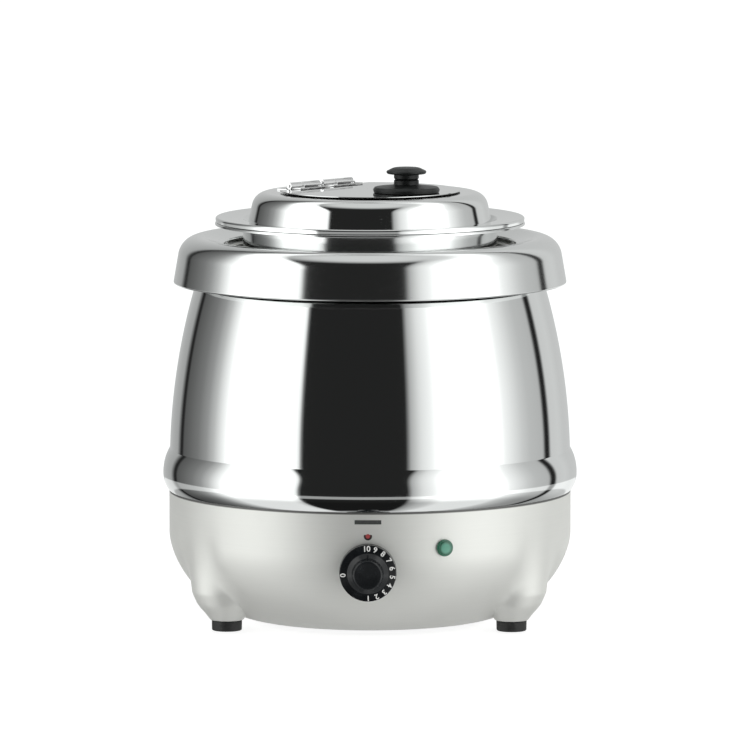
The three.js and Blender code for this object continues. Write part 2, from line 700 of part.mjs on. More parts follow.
// Along +Z: a numbered skirt, then a tapered grip with two flats, and a bore for the shaft.
function controlDial() {
  const body = turned(
    rounded(
      [
        [0, 0],
        [DIAL_RADIUS - 0.6, 0],
        [DIAL_RADIUS, 0.6],
        [DIAL_RADIUS, DIAL_SKIRT - 0.8, 0.6],
        [GRIP_RADIUS + 1, DIAL_SKIRT + 0.6],
        [GRIP_RADIUS - 1.6, DIAL_HEIGHT, 2],
        [0, DIAL_HEIGHT],
      ],
      1,
    ),
    MEDIUM_SIDES,
  );
  const flats = [-1, 1].map((side) => {
    const [near, far] = [(side * GRIP_WIDTH) / 2, side * (DIAL_RADIUS + 5)];
    const low = [Math.min(near, far), -DIAL_RADIUS, DIAL_SKIRT + 2];
    return block(low, [Math.max(near, far), DIAL_RADIUS, DIAL_HEIGHT + 1]);
  });
  return cut(body, ...flats, bar(SHAFT_RADIUS + 0.05, -1, DIAL_HEIGHT - 8 + FIT));
}

function buildSensor() {
  const centre = PAN_RADIUS + FIT + BULB_RADIUS;
  const [x, y] = polar(centre, BULB_AZIMUTH);
  const low = PAN_FLOOR_Z + PAN_CORNER + 5;
  const boxSide = -THERMOSTAT_WIDTH / 2 - FIT;
  const boxY = -(BASE_RADIUS - PLATE_DEPTH - 16);
  const start = [boxSide, boxY, DIAL_Z];
  const tip = [x, y, low - FIT];
  const middle = [(start[0] + x) / 2, (boxY + y) / 2 - 8, low - 18];
  const route = [start, [boxSide - 8, boxY, DIAL_Z - 2], middle, [x, y, low - 10], tip];
  piece(kettle, "capillary_tube", tubeThrough(route, 1, 6, 24), COPPER);
  piece(kettle, "thermostat_bulb", bar(BULB_RADIUS, low, low + BULB_LENGTH, x, y), COPPER);
  const holder = onWall(BULB_AZIMUTH, low + BULB_LENGTH / 2, centre);
  piece(holder, "bulb_clip", bulbClip(), ZINC);
}

// A strap over the bulb, with a wing on each side that lies on the pan's wall.
function bulbClip() {
  const inner = BULB_RADIUS + FIT;
  const outer = inner + SHEET;
  const wing = outer + 6;
  const foot = -BULB_RADIUS + 1;
  const shape = new THREE.Shape();
  shape.moveTo(-wing, foot);
  shape.lineTo(-inner, foot);
  shape.lineTo(-inner, 0);
  shape.absarc(0, 0, inner, Math.PI, 0, true);
  shape.lineTo(inner, foot);
  shape.lineTo(wing, foot);
  shape.lineTo(wing, foot + SHEET);
  shape.lineTo(outer, foot + SHEET);
  shape.lineTo(outer, 0);
  shape.absarc(0, 0, outer, 0, Math.PI, false);
  shape.lineTo(-outer, foot + SHEET);
  shape.lineTo(-wing, foot + SHEET);
  shape.closePath();
  const strap = new THREE.ExtrudeGeometry(shape, { depth: 12, bevelEnabled: false, curveSegments: 4 });
  return strap.translate(0, 0, -6).rotateX(-Math.PI / 2).rotateZ(Math.PI).rotateX(Math.PI);
}

buildThermostat();
buildSensor();

// ---- Pilot lamp --------------------------------------------------------------------------------

function buildLamp() {
  const lamp = onWall(LAMP_AZIMUTH, LAMP_Z);
  const lens = turned(
    rounded(
      [
        [0, FIT],
        [LAMP_RADIUS, FIT],
        [LAMP_RADIUS, 2.2, 0.8],
        [LAMP_BODY_RADIUS, 2.4],
        [LAMP_BODY_RADIUS - 0.6, 4.6, 1],
        [0, 5],
      ],
      1,
    ),
    MEDIUM_SIDES,
  );
  const back = -WALL_BACK;
  piece(lamp, "pilot_lamp_lens", lens, GREEN_LENS);
  piece(lamp, "pilot_lamp_body", bar(LAMP_BODY_RADIUS, -24, 0), BLACK_PLASTIC);
  piece(lamp, "pilot_lamp_nut", hexNut(LAMP_BODY_RADIUS + 0.1, 8.5, back - 3, back), BLACK_PLASTIC);
}
buildLamp();

// ---- Rear inlet --------------------------------------------------------------------------------

function buildInlet() {
  const rear = onWall(180, GLAND_Z);
  const inside = -12;
  const gland = join(
    turned(
      rounded(
        [
          [0, inside],
          [GLAND_THREAD, inside],
          [GLAND_THREAD, 4],
          [9, 4],
          [9, 12],
          [7.6, GLAND_REACH, 2],
          [0, GLAND_REACH],
        ],
        2,
      ),
      SMALL_SIDES,
    ),
    bar(11, FIT, 5, 0, 0, 6),
  );
  const bored = cut(gland, bar(GLAND_BORE, inside - 1, GLAND_REACH + 1));
  const back = -WALL_BACK;
  piece(rear, "cable_gland", bored, BLACK_PLASTIC);
  piece(rear, "gland_nut", hexNut(GLAND_THREAD + 0.1, 10, back - 4, back), BLACK_PLASTIC);

  const shelf = onWall(TERMINAL_AZIMUTH, GLAND_Z);
  const face = -WALL_BACK - 1;
  const blockFace = face - 1 - FIT;
  const bracket = cut(block([-18, -12, face - 1], [18, 12, face]), bar(1.7, face - 2, face + 1));
  const terminals = cut(
    block([-15, -8, blockFace - 14], [15, 8, blockFace]),
    bar(1.7, blockFace - 15, blockFace + 1),
    bar(2.4, blockFace - 15, blockFace - 4, -9),
    bar(2.4, blockFace - 15, blockFace - 4, 9),
  );
  const headLow = blockFace - 14 - FIT - 2;
  piece(shelf, "terminal_bracket", bracket, ZINC);
  piece(shelf, "terminal_block", terminals, CERAMIC);
  piece(shelf, "terminal_screw", screw(3, headLow, headLow + 2, 1.5, face - 0.1), ZINC);

  const earth = onWall(EARTH_AZIMUTH, GLAND_Z);
  piece(earth, "earth_stud", bar(2, -WALL_BACK - 13, -WALL_BACK + FIT), ZINC);
  piece(earth, "earth_nut", hexNut(2.1, 4.2, -WALL_BACK - 6.2, -WALL_BACK - 3), ZINC);
}
buildInlet();

// ---- Soup pot ----------------------------------------------------------------------------------

function innerPot() {
  const under = POT_BRIM_Z - SHEET;
  const edge = BRIM_RADIUS - SHEET;
  return shell(
    rounded([
      [0, POT_BOTTOM_Z],
      [POT_RADIUS, POT_BOTTOM_Z, POT_CORNER],
      [POT_RADIUS, under, 1.2],
      [edge, under, 0.4],
      [edge, under - 1.5],
    ]),
  );
}
piece(kettle, "inner_pot", innerPot(), POLISHED);

// ---- Lid ---------------------------------------------------------------------------------------

const LID_SEAT_Z = POT_BRIM_Z + FIT;
const LID_TOP_Z = POT_BRIM_Z + LID_HEIGHT + FIT;
const AXIS_Z = LID_TOP_Z + FIT + SHEET + KNUCKLE_RADIUS + 0.05;

// The flat plate's frame: +X along the hinge line, +Y away from the flap.
function plateGroup(offset, z) {
  const group = new THREE.Group();
  const angle = THREE.MathUtils.degToRad(FLAP_AZIMUTH);
  group.rotation.z = angle;
  group.position.set(-offset * Math.sin(angle), offset * Math.cos(angle), z);
  kettle.add(group);
  return group;
}

// A circle of the given radius, cut straight at the given distance on its +Y side.
function chordShape(radius, chord, divisions = 40) {
  const half = Math.acos(chord / radius);
  const shape = new THREE.Shape();
  for (let i = 0; i <= divisions; i++) {
    const angle = Math.PI / 2 + half + ((2 * Math.PI - 2 * half) * i) / divisions;
    const corner = [radius * Math.cos(angle), radius * Math.sin(angle)];
    if (i === 0) shape.moveTo(...corner);
    else shape.lineTo(...corner);
  }
  shape.closePath();
  return shape;
}

function lidRing() {
  const brimTop = LID_SEAT_Z + LID_EDGE_HEIGHT;
  const stepRadius = POT_RADIUS - 2 * SHEET - 2 * FIT;
  const dish = shell(
    rounded([
      [BRIM_RADIUS - 0.4, LID_SEAT_Z],
      [BRIM_RADIUS, brimTop, 1.6],
      [stepRadius + 2.5, brimTop - 1.6, 2],
      [stepRadius - 0.4, LID_SEAT_Z - LID_STEP + SHEET, 0.5],
      [DOME_RADIUS + 0.6, LID_SEAT_Z - LID_STEP + SHEET, 0.3],
      [DOME_RADIUS - DOME_TAPER, LID_TOP_Z, DOME_SHOULDER],
      [0, LID_TOP_Z],
    ]),
  );
  const opening = new THREE.ExtrudeGeometry(chordShape(LID_OPENING_RADIUS, LID_OPENING_CHORD, 24), {
    depth: 6,
    bevelEnabled: false,
  });
  opening.rotateZ(THREE.MathUtils.degToRad(FLAP_AZIMUTH)).translate(0, 0, LID_TOP_Z - 3);
  return cut(dish, opening);
}

function flapPlate() {
  const plate = new THREE.ExtrudeGeometry(chordShape(FLAP_RADIUS, HINGE_OFFSET - FLAP_CHORD_GAP), {
    depth: SHEET,
    bevelEnabled: false,
  });
  return cut(plate, bar(KNOB_SCREW_RADIUS + 0.2, -1, SHEET + 1, 0, -KNOB_DISTANCE));
}

// A leaf of one hinge, about its pin: a knuckle over part of the length, and a flat plate beside it.
function hingeLeaf(knuckleFrom, knuckleTo, side, low) {
  const start = -HINGE_LENGTH / 2;
  const end = HINGE_LENGTH / 2;
  const knuckle = bar(KNUCKLE_RADIUS, knuckleFrom, knuckleTo).rotateY(Math.PI / 2);
  const clear = KNUCKLE_RADIUS + 0.6;
  const plate = span(start, end, side, clear, LEAF_WIDTH, low, low + SHEET);
  const web = span(knuckleFrom, knuckleTo, side, PIN_RADIUS + 0.4, clear + 1, low, low + SHEET + 1);
  const bore = bar(PIN_RADIUS + PIN_CLEARANCE, start - 1, end + 1).rotateY(Math.PI / 2);
  return cut(join(knuckle, plate, web), bore);
}

// A box beside the pin, on the +Y or -Y side.
function span(x0, x1, side, near, far, low, high) {
  const [y0, y1] = [side * near, side * far].sort((a, b) => a - b);
  return block([x0, y0, low], [x1, y1, high]);
}

function hingePin() {
  const reach = HINGE_LENGTH / 2 + 0.8;
  const pin = turned(
    rounded(
      [
        [0, -reach],
        [PIN_RADIUS, -reach, 0.7],
        [PIN_RADIUS, reach, 0.7],
        [0, reach],
      ],
      2,
    ),
    10,
  );
  return pin.rotateY(Math.PI / 2);
}

function buildLid() {
  piece(kettle, "lid_ring", lidRing(), POLISHED);
  const flapZ = LID_TOP_Z + FLAP_LIFT;
  const plates = plateGroup(0, flapZ);
  piece(plates, "lid_flap", flapPlate(), POLISHED);
  const hinges = plateGroup(HINGE_OFFSET, AXIS_Z);
  const fixedLow = LID_TOP_Z + FIT - AXIS_Z;
  const movingLow = flapZ + SHEET + FIT - AXIS_Z;
  const start = -HINGE_LENGTH / 2;
  const joint = start + HINGE_LENGTH * FIXED_SHARE;
  for (const [side, sign] of [["left", -1], ["right", 1]]) {
    const hinge = new THREE.Group();
    hinge.position.x = (sign * HINGE_SPACING) / 2;
    hinges.add(hinge);
    const fixed = hingeLeaf(start, joint - FIT / 2, 1, fixedLow);
    const moving = hingeLeaf(joint + FIT / 2, -start, -1, movingLow);
    piece(hinge, `hinge_fixed_leaf_${side}`, fixed, POLISHED);
    piece(hinge, `hinge_moving_leaf_${side}`, moving, POLISHED);
    piece(hinge, `hinge_pin_${side}`, hingePin(), POLISHED);
  }
  buildKnob(plates);
}

function buildKnob(plates) {
  const knob = new THREE.Group();
  knob.position.set(0, -KNOB_DISTANCE, SHEET + FIT);
  plates.add(knob);
  const baseTop = KNOB_BASE_HEIGHT;
  const split = KNOB_HEIGHT * 0.5;
  const boreTop = KNOB_HEIGHT - 4;
  const bore = KNOB_SCREW_RADIUS + 0.1;
  const base = turned(
    rounded(
      [
        [bore, 0],
        [KNOB_BASE_RADIUS - 1, 0, 0.8],
        [KNOB_BASE_RADIUS, baseTop - 1.2, 1.4],
        [KNOB_STEM_RADIUS + 4, baseTop, 1],
        [KNOB_STEM_RADIUS, baseTop + 1.4],
        [KNOB_STEM_RADIUS, split - 0.6],
        [KNOB_STEM_RADIUS - 0.8, split],
        [bore, split],
      ],
      1,
    ),
    MEDIUM_SIDES,
  );
  const capLow = KNOB_HEIGHT - 5.6;
  const cap = turned(
    rounded(
      [
        [0, boreTop],
        [bore, boreTop],
        [bore, split + FIT],
        [KNOB_STEM_RADIUS - 0.8, split + FIT],
        [KNOB_STEM_RADIUS, split + FIT + 0.6],
        [KNOB_STEM_RADIUS, capLow - 0.4, 0.4],
        [KNOB_CAP_RADIUS - 1.5, capLow, 0.6],
        [KNOB_CAP_RADIUS, capLow + 1.6, 1],
        [KNOB_CAP_RADIUS * 0.62, KNOB_HEIGHT - 0.6, 6],
        [0, KNOB_HEIGHT],
      ],
      1,
    ),
    MEDIUM_SIDES,
  );
  const under = -FIT - SHEET - FIT;
  piece(knob, "knob_base", base, BLACK_PLASTIC);
  piece(knob, "knob_cap", cap, BLACK_PLASTIC);
  piece(knob, "knob_screw", screw(4, under - 2, under, KNOB_SCREW_RADIUS, boreTop - FIT), ZINC);
}

buildLid();

export default kettle;
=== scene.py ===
import json
import math

import bpy
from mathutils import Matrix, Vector


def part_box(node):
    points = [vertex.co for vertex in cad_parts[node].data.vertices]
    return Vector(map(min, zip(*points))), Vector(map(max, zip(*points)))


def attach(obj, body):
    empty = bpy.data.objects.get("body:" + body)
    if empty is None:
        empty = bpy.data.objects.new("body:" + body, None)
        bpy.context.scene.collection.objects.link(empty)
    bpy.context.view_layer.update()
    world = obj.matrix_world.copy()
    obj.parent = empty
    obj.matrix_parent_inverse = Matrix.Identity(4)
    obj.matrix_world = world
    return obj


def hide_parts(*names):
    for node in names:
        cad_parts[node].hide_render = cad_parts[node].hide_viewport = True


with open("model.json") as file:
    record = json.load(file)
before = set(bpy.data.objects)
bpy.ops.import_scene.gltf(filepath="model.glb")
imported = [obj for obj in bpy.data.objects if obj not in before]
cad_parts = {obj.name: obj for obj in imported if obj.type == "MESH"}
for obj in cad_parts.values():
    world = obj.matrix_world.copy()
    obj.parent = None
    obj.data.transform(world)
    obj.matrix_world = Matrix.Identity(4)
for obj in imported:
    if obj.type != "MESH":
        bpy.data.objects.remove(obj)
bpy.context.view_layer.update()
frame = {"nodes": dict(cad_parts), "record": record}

# ---- Base shell ----------------------------------------------------------------------------------
# The drawn bowl of satin stainless steel that carries everything. Its three legs are cups pressed
# out of the same sheet, and its upright wall runs up inside the barrel.

base_low, base_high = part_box("base_shell")
BASE_RADIUS = base_high.x
BOWL_FLOOR = 0.0042  # height of the bowl's lowest ring
BOWL_FLOOR_RADIUS = 0.097  # where the bowl starts to curve up
BOWL_CURVE_TOP = 0.073  # where the wall becomes upright
BOWL_CURVE_POWER = 1.7
BOWL_STEPS = 24
FLANGE_RADIUS = 0.093  # the step that takes the bottom cover
FLANGE_WIDTH = 0.013
FLANGE_RISE = 0.004
STEEL_SHEET = 0.0008
LEG_CENTRE = BASE_RADIUS - 0.031
LEG_RADIUS = 0.031
LEG_RIM = 0.0135
LEG_TOP = BOWL_CURVE_TOP - 0.002
FLANK_RISE = 0.036  # how far the flank of a leg leans before it is upright
FLANK_BULGE = 0.0035
BLEND_TOP = BOWL_CURVE_TOP + 0.008  # the metal flows smoothly from bowl to leg below this height
BLEND_REACH = (0.016, 0.042)  # and this far from the leg's middle
BLEND_PASSES = ((0.014, 3), (0.024, 10), (0.034, 16))  # the lowest height of each pass, and its strength
LEG_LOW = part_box("foot_rear")[1].z + 0.0003
LEG_NAMES = {"rear": 180, "right": 300, "left": 60}


def pick(piece):
    """Selects this object alone and makes it active."""
    bpy.ops.object.select_all(action="DESELECT")
    piece.select_set(True)
    bpy.context.view_layer.objects.active = piece


def edit(piece, *operators):
    """Runs edit-mode operators on all of a mesh."""
    pick(piece)
    bpy.ops.object.mode_set(mode="EDIT")
    bpy.ops.mesh.select_all(action="SELECT")
    for operator, settings in operators:
        operator(**settings)
    bpy.ops.object.mode_set(mode="OBJECT")


def swing(start, end, share):
    """A radius turned part of the way from one direction to another."""
    return start.slerp(end, share) * start.length


def rounded(corners, steps=8):
    """Corners (radius, height, fillet) as the points of a line whose filleted corners are arcs."""
    points = []
    for i, (radius, height, *fillet) in enumerate(corners):
        corner = Vector((radius, height))
        if not fillet:
            points.append(corner)
            continue
        back = (Vector(corners[i - 1][:2]) - corner).normalized()
        ahead = (Vector(corners[i + 1][:2]) - corner).normalized()
        half = back.angle(ahead) / 2
        centre = corner + (back + ahead).normalized() * fillet[0] / math.sin(half)
        start = corner + back * fillet[0] / math.tan(half) - centre
        end = corner + ahead * fillet[0] / math.tan(half) - centre
        points += [centre + swing(start, end, step / steps) for step in range(steps + 1)]
    return points


def bulged(start, end, bulge, steps=40):
    """An arc between two points that bulges out to the right of the way."""
    start, end = Vector(start), Vector(end)
    way = end - start
    radius = (way.length_squared / 4 + bulge * bulge) / (2 * bulge)
    left = Vector((-way.y, way.x)).normalized()
    centre = (start + end) / 2 + left * (radius - bulge)
    return [centre + swing(start - centre, end - centre, step / steps) for step in range(steps + 1)]


def settle(piece, turned=(0, 0, 0), location=(0, 0, 0)):
    """Turns and moves a piece, and leaves its object at the origin."""
    pick(piece)
    piece.rotation_euler = turned
    piece.location = location
    bpy.ops.object.transform_apply()


def turn(name, outline, sides=128, centre=(0, 0)):
    """A skin turned about an upright axis: a circle drawn out ring by ring along the outline.
    Travelling along the outline, its right side is the outside."""
    bpy.ops.object.select_all(action="DESELECT")
    rings = [tuple(point) for point in outline]
    capped = rings[0][0] == 0
    if capped:
        rings.pop(0)
    radius, height = rings.pop(0)
    fill = "TRIFAN" if capped else "NOTHING"
    bpy.ops.mesh.primitive_circle_add(
        vertices=sides, radius=radius, fill_type=fill, location=(*centre, height)
    )
    piece = bpy.context.object
    piece.name = piece.data.name = name
    bpy.ops.object.transform_apply(location=True, rotation=False, scale=False)
    bpy.ops.object.mode_set(mode="EDIT")
    bpy.ops.mesh.select_all(action="SELECT")
    if capped:
        bpy.ops.mesh.region_to_loop()
    for next_radius, next_height in rings:
        rise = (0, 0, next_height - height)
        bpy.ops.mesh.extrude_edges_move(TRANSFORM_OT_translate={"value": rise})
        if next_radius == 0:
            bpy.ops.mesh.merge(type="CENTER")
            break
        share = next_radius / radius
        bpy.ops.transform.resize(value=(share, share, 1), center_override=(*centre, next_height))
        radius, height = next_radius, next_height
    if capped:
        bpy.ops.mesh.select_all(action="SELECT")
        bpy.ops.mesh.flip_normals()
    bpy.ops.object.mode_set(mode="OBJECT")
    return piece


def solid(name, outline, sides=128, centre=(0, 0)):
    """A closed body turned about an upright axis. The outline ends where it starts, or on the axis."""
    piece = turn(name, outline, sides, centre)
    edit(
        piece,
        (bpy.ops.mesh.remove_doubles, {"threshold": 1e-6}),
        (bpy.ops.mesh.normals_make_consistent, {"inside": False}),
    )
    return piece


def modify(piece, kind, **settings):
    """Adds a modifier and applies it."""
    pick(piece)
    bpy.ops.object.modifier_add(type=kind)
    modifier = piece.modifiers[-1]
    for name, value in settings.items():
        setattr(modifier, name, value)
    bpy.ops.object.modifier_apply(modifier=modifier.name)


def cut(piece, tool, operation="DIFFERENCE"):
    """Cuts a piece by a tool, or joins them, and removes the tool."""
    modify(piece, "BOOLEAN", operation=operation, solver="EXACT", object=tool)
    bpy.data.meshes.remove(tool.data)


def smooth(piece, degrees=40):
    """Shades a piece smooth, apart from the edges sharper than an angle."""
    pick(piece)
    bpy.ops.object.shade_smooth_by_angle(angle=math.radians(degrees))


def soften(piece, width=0.0002, segments=2, limit=50):
    """Breaks the sharp edges, as tumbling or a mould's radius does, and shades the rest smooth."""
    modify(
        piece, "BEVEL", width=width, segments=segments, limit_method="ANGLE",
        angle_limit=math.radians(limit), harden_normals=False,
    )
    smooth(piece)
    modify(piece, "WEIGHTED_NORMAL", keep_sharp=True)


def around(radius, azimuth):
    """A place on a circle. The azimuth is counted from the front, towards +X."""
    angle = math.radians(azimuth)
    return radius * math.sin(angle), -radius * math.cos(angle)


bowl_curve = []
for step in range(BOWL_STEPS + 1):
    angle = math.pi / 2 * step / BOWL_STEPS
    out = math.sin(angle) ** (2 / BOWL_CURVE_POWER)
    down = math.cos(angle) ** (2 / BOWL_CURVE_POWER)
    bowl_curve.append(
        (
            BOWL_FLOOR_RADIUS + (BASE_RADIUS - BOWL_FLOOR_RADIUS) * out,
            BOWL_CURVE_TOP - (BOWL_CURVE_TOP - BOWL_FLOOR) * down,
        )
    )
flange = BOWL_FLOOR + FLANGE_RISE
flange_foot = (FLANGE_RADIUS + 0.001, BOWL_FLOOR)
base = solid(
    "base_shell_skin",
    [
        (0, flange),
        (FLANGE_RADIUS - FLANGE_WIDTH, flange),
        *rounded([(FLANGE_RADIUS, flange), (*flange_foot, 0.0008), bowl_curve[0]], 3),
        *bowl_curve[1:],
        (BASE_RADIUS, 0.1),
        (BASE_RADIUS, base_high.z),
        (0, base_high.z),
    ],
    144,
)
flank_low, flank_high = (LEG_RIM + 0.0045, LEG_LOW + 0.006), (LEG_RADIUS, LEG_LOW + FLANK_RISE)
leg_flank = bulged(flank_low, flank_high, FLANK_BULGE, 16)
leg_outline = [
    *rounded([(0, LEG_LOW), (LEG_RIM, LEG_LOW, 0.0012), leg_flank[0]], 4),
    *leg_flank[1:],
    (LEG_RADIUS, LEG_TOP - 0.01),
    (LEG_RADIUS, LEG_TOP),
    (0, LEG_TOP),
]
for azimuth in LEG_NAMES.values():
    leg = solid("leg", leg_outline, 64, around(LEG_CENTRE, azimuth))
    cut(base, leg, "UNION")
pick(base)
bpy.ops.object.mode_set(mode="EDIT")
bpy.ops.mesh.select_all(action="DESELECT")
bpy.ops.object.mode_set(mode="OBJECT")
for face in base.data.polygons:
    middle = Vector(face.center)
    top_cap = middle.z > base_high.z - 1e-5
    cover_hole = abs(middle.z - flange) < 1e-5 and middle.xy.length < FLANGE_RADIUS - FLANGE_WIDTH
    face.select = top_cap or cover_hole
bpy.ops.object.mode_set(mode="EDIT")
bpy.ops.mesh.delete(type="FACE")
bpy.ops.mesh.select_mode(type="VERT")
for low, times in BLEND_PASSES:
    bpy.ops.mesh.select_all(action="DESELECT")
    bpy.ops.object.mode_set(mode="OBJECT")
    for vertex in base.data.vertices:
        x, y, z = vertex.co
        reach = min(math.dist((x, y), around(LEG_CENTRE, azimuth)) for azimuth in LEG_NAMES.values())
        vertex.select = low < z < BLEND_TOP and BLEND_REACH[0] < reach < BLEND_REACH[1]
    bpy.ops.object.mode_set(mode="EDIT")
    bpy.ops.mesh.vertices_smooth(factor=0.5, repeat=times)
bpy.ops.object.mode_set(mode="OBJECT")
modify(base, "SOLIDIFY", thickness=STEEL_SHEET, offset=-1)
smooth(base)


class Sum:
    """A socket of a node tree. Arithmetic on it adds Math nodes, and node() adds any other."""

    def __init__(self, tree, socket=None):
        self.tree = tree
        self.socket = socket

    def node(self, kind, settings=None, inputs=None, output=0):
        """Adds a node, sets it up, fills or links its inputs, and gives one of its outputs."""
        new = self.tree.nodes.new(kind)
        for name, value in (settings or {}).items():
            if name == "stops":
                ramp = new.color_ramp.elements
                ramp.remove(ramp[1])
                for i, (place, colour) in enumerate(value):
                    stop = ramp[0] if i == 0 else ramp.new(place)
                    stop.position = place
                    stop.color = colour if hasattr(colour, "__len__") else (colour,) * 3 + (1,)
            else:
                setattr(new, name, value)
        for name, value in (inputs or {}).items():
            if isinstance(value, Sum):
                self.tree.links.new(value.socket, new.inputs[name])
            else:
                new.inputs[name].default_value = value
        return Sum(self.tree, new.outputs[output])

    def math(self, operation, *values):
        return self.node("ShaderNodeMath", {"operation": operation}, dict(enumerate(values)))

    def __add__(self, other):
        return self.math("ADD", self, other)

    def __sub__(self, other):
        return self.math("SUBTRACT", self, other)

    def __rsub__(self, other):
        return self.math("SUBTRACT", other, self)

    def __mul__(self, other):
        return self.math("MULTIPLY", self, other)

    def __truediv__(self, other):
        return self.math("DIVIDE", self, other)

    def __rtruediv__(self, other):
        return self.math("DIVIDE", other, self)

    def __pow__(self, other):
        return self.math("POWER", self, other)

    __radd__ = __add__
    __rmul__ = __mul__

    def between(self, low, high):
        """0 below low, 1 above high, smooth between."""
        inputs = {0: self, 1: low, 2: high, 3: 0.0, 4: 1.0}
        return self.node("ShaderNodeMapRange", {"interpolation_type": "SMOOTHSTEP"}, inputs)

    def noise(self, scale, detail=2, roughness=0.5):
        inputs = {"Vector": self, "Scale": scale, "Detail": detail, "Roughness": roughness}
        return self.node("ShaderNodeTexNoise", {}, inputs)

    def mix(self, first, second):
        """The first colour where this value is 0, the second where it is 1."""
        inputs = {0: self, 6: first, 7: second}
        return self.node("ShaderNodeMix", {"data_type": "RGBA"}, inputs, 2)

    def split(self, axis):
        return self.node("ShaderNodeSeparateXYZ", {}, {0: self}, axis)


def material(name, colour, roughness, metallic=0.0, **settings):
    """A material with its shader and the object's coordinates, ready for a pattern."""
    new = bpy.data.materials.new(name)
    new.use_nodes = True
    tree = new.node_tree
    shader = tree.nodes["Principled BSDF"]
    shader.inputs["Base Color"].default_value = (*colour, 1)
    shader.inputs["Roughness"].default_value = roughness
    shader.inputs["Metallic"].default_value = metallic
    for socket, value in settings.items():
        shader.inputs[socket.replace("_", " ")].default_value = value
    place = Sum(tree).node("ShaderNodeTexCoord", {}, {}, 3)
    return new, shader, place


def feed(shader, socket, value):
    shader.id_data.links.new(value.socket, shader.inputs[socket])


def bump(shader, height, distance, strength=1.0):
    """Lets a height pattern tilt the surface."""
    inputs = {"Strength": strength, "Distance": distance, "Height": height}
    feed(shader, "Normal", height.node("ShaderNodeBump", {}, inputs))


def round_the_axis(place, along, across):
    """The object's coordinates as (angle, height, radius), scaled for marks that run round it."""
    x, y, z = (place.split(axis) for axis in range(3))
    angle = place.math("ARCTAN2", y, x)
    radius = (x * x + y * y) ** 0.5
    inputs = {0: angle * along, 1: z * across, 2: radius * across}
    return place.node("ShaderNodeCombineXYZ", {}, inputs)


def satin_steel(name, tint=(0.82, 0.822, 0.79), roughness=0.55, seam=None):
    """Stainless steel brushed round its axis, with painted shade from close under a seam upwards."""
    new, shader, place = material(name, tint, roughness, 0.74)
    strokes = round_the_axis(place, 3.0, 900).noise(1.0, 3, 0.6)
    clouds = place.noise(14, 3)
    dirt = place.noise(60, 4, 0.6).between(0.62, 0.8)
    dull = tuple(0.9 * value for value in tint) + (1,)
    colour = (clouds * 0.5 + strokes * 0.5).mix(dull, (*tint, 1))
    if seam:
        # Painted shade: from just under the seam upwards the colour darkens almost to black. It stands
        # in for the lip's shadow and the dark gap behind it.
        painted_shade_under_lip = place.split(2).between(seam - 0.0022, seam - 0.0012) * 0.85
        colour = painted_shade_under_lip.mix(colour, (0.04, 0.04, 0.04, 1))
    feed(shader, "Base Color", colour)
    feed(shader, "Roughness", roughness - 0.07 + clouds * 0.08 + strokes * 0.06 + dirt * 0.04)
    bump(shader, strokes, 0.00002, 0.6)
    return new


def finish(piece, look, body, slot, *nodes):
    """Gives a piece its material and body, and hides the nodes it stands for. The slot is not used."""
    piece.data.materials.clear()
    piece.data.materials.append(look)
    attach(piece, body)
    if nodes:
        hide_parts(*nodes)


base_look = satin_steel("satin_steel_base", seam=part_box("barrel_shell")[0].z)
finish(base, base_look, "casing", "satin_steel", "base_shell")

# ---- Barrel --------------------------------------------------------------------------------------
# The belly is drawn from mirror-polished stainless sheet. The bead above its lower lip is rolled,
# and its top is folded in to a flat flange that carries the water pan.

barrel_low, barrel_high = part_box("barrel_shell")
SEAM = barrel_low.z
BARREL_TOP = barrel_high.z
BELT_RADIUS = barrel_high.x
BELT_HEIGHT = 0.037
BELT_MIDDLE = 0.0134  # the widest ring of the belt above the seam
LIP_BULGE = 0.0012
SLOPE_BULGE = 0.0015
BARREL_NECK = BASE_RADIUS - 0.0007
MOUTH_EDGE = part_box("water_pan")[1].x + 0.005
BELLY_BULGE = 0.006
MOUTH_RADIUS = 0.1208
SCUFFED_HEIGHT = 0.07  # above the seam, the hair scratches fade out

belt_middle = (BELT_RADIUS, SEAM + BELT_MIDDLE)
belt_top = SEAM + BELT_HEIGHT
lip = bulged((BASE_RADIUS + 0.0006, SEAM), belt_middle, LIP_BULGE, 14)
slope = bulged(belt_middle, (BARREL_NECK + 0.0001, belt_top - 0.003), SLOPE_BULGE, 18)
belly = bulged((BARREL_NECK, belt_top), (MOUTH_EDGE, BARREL_TOP - 0.003), BELLY_BULGE)
barrel = turn(
    "barrel_skin",
    [
        *lip,
        *slope[1:-1],
        *rounded([slope[-2], (*slope[-1], 0.0018), belly[2]], 8)[1:],
        *belly[3:],
        *rounded([belly[-1], (MOUTH_EDGE, BARREL_TOP, 0.0016), (MOUTH_RADIUS, BARREL_TOP)], 4)[1:],
    ],
    192,
)
modify(barrel, "SOLIDIFY", thickness=STEEL_SHEET, offset=-1)
soften(barrel, 0.00025)


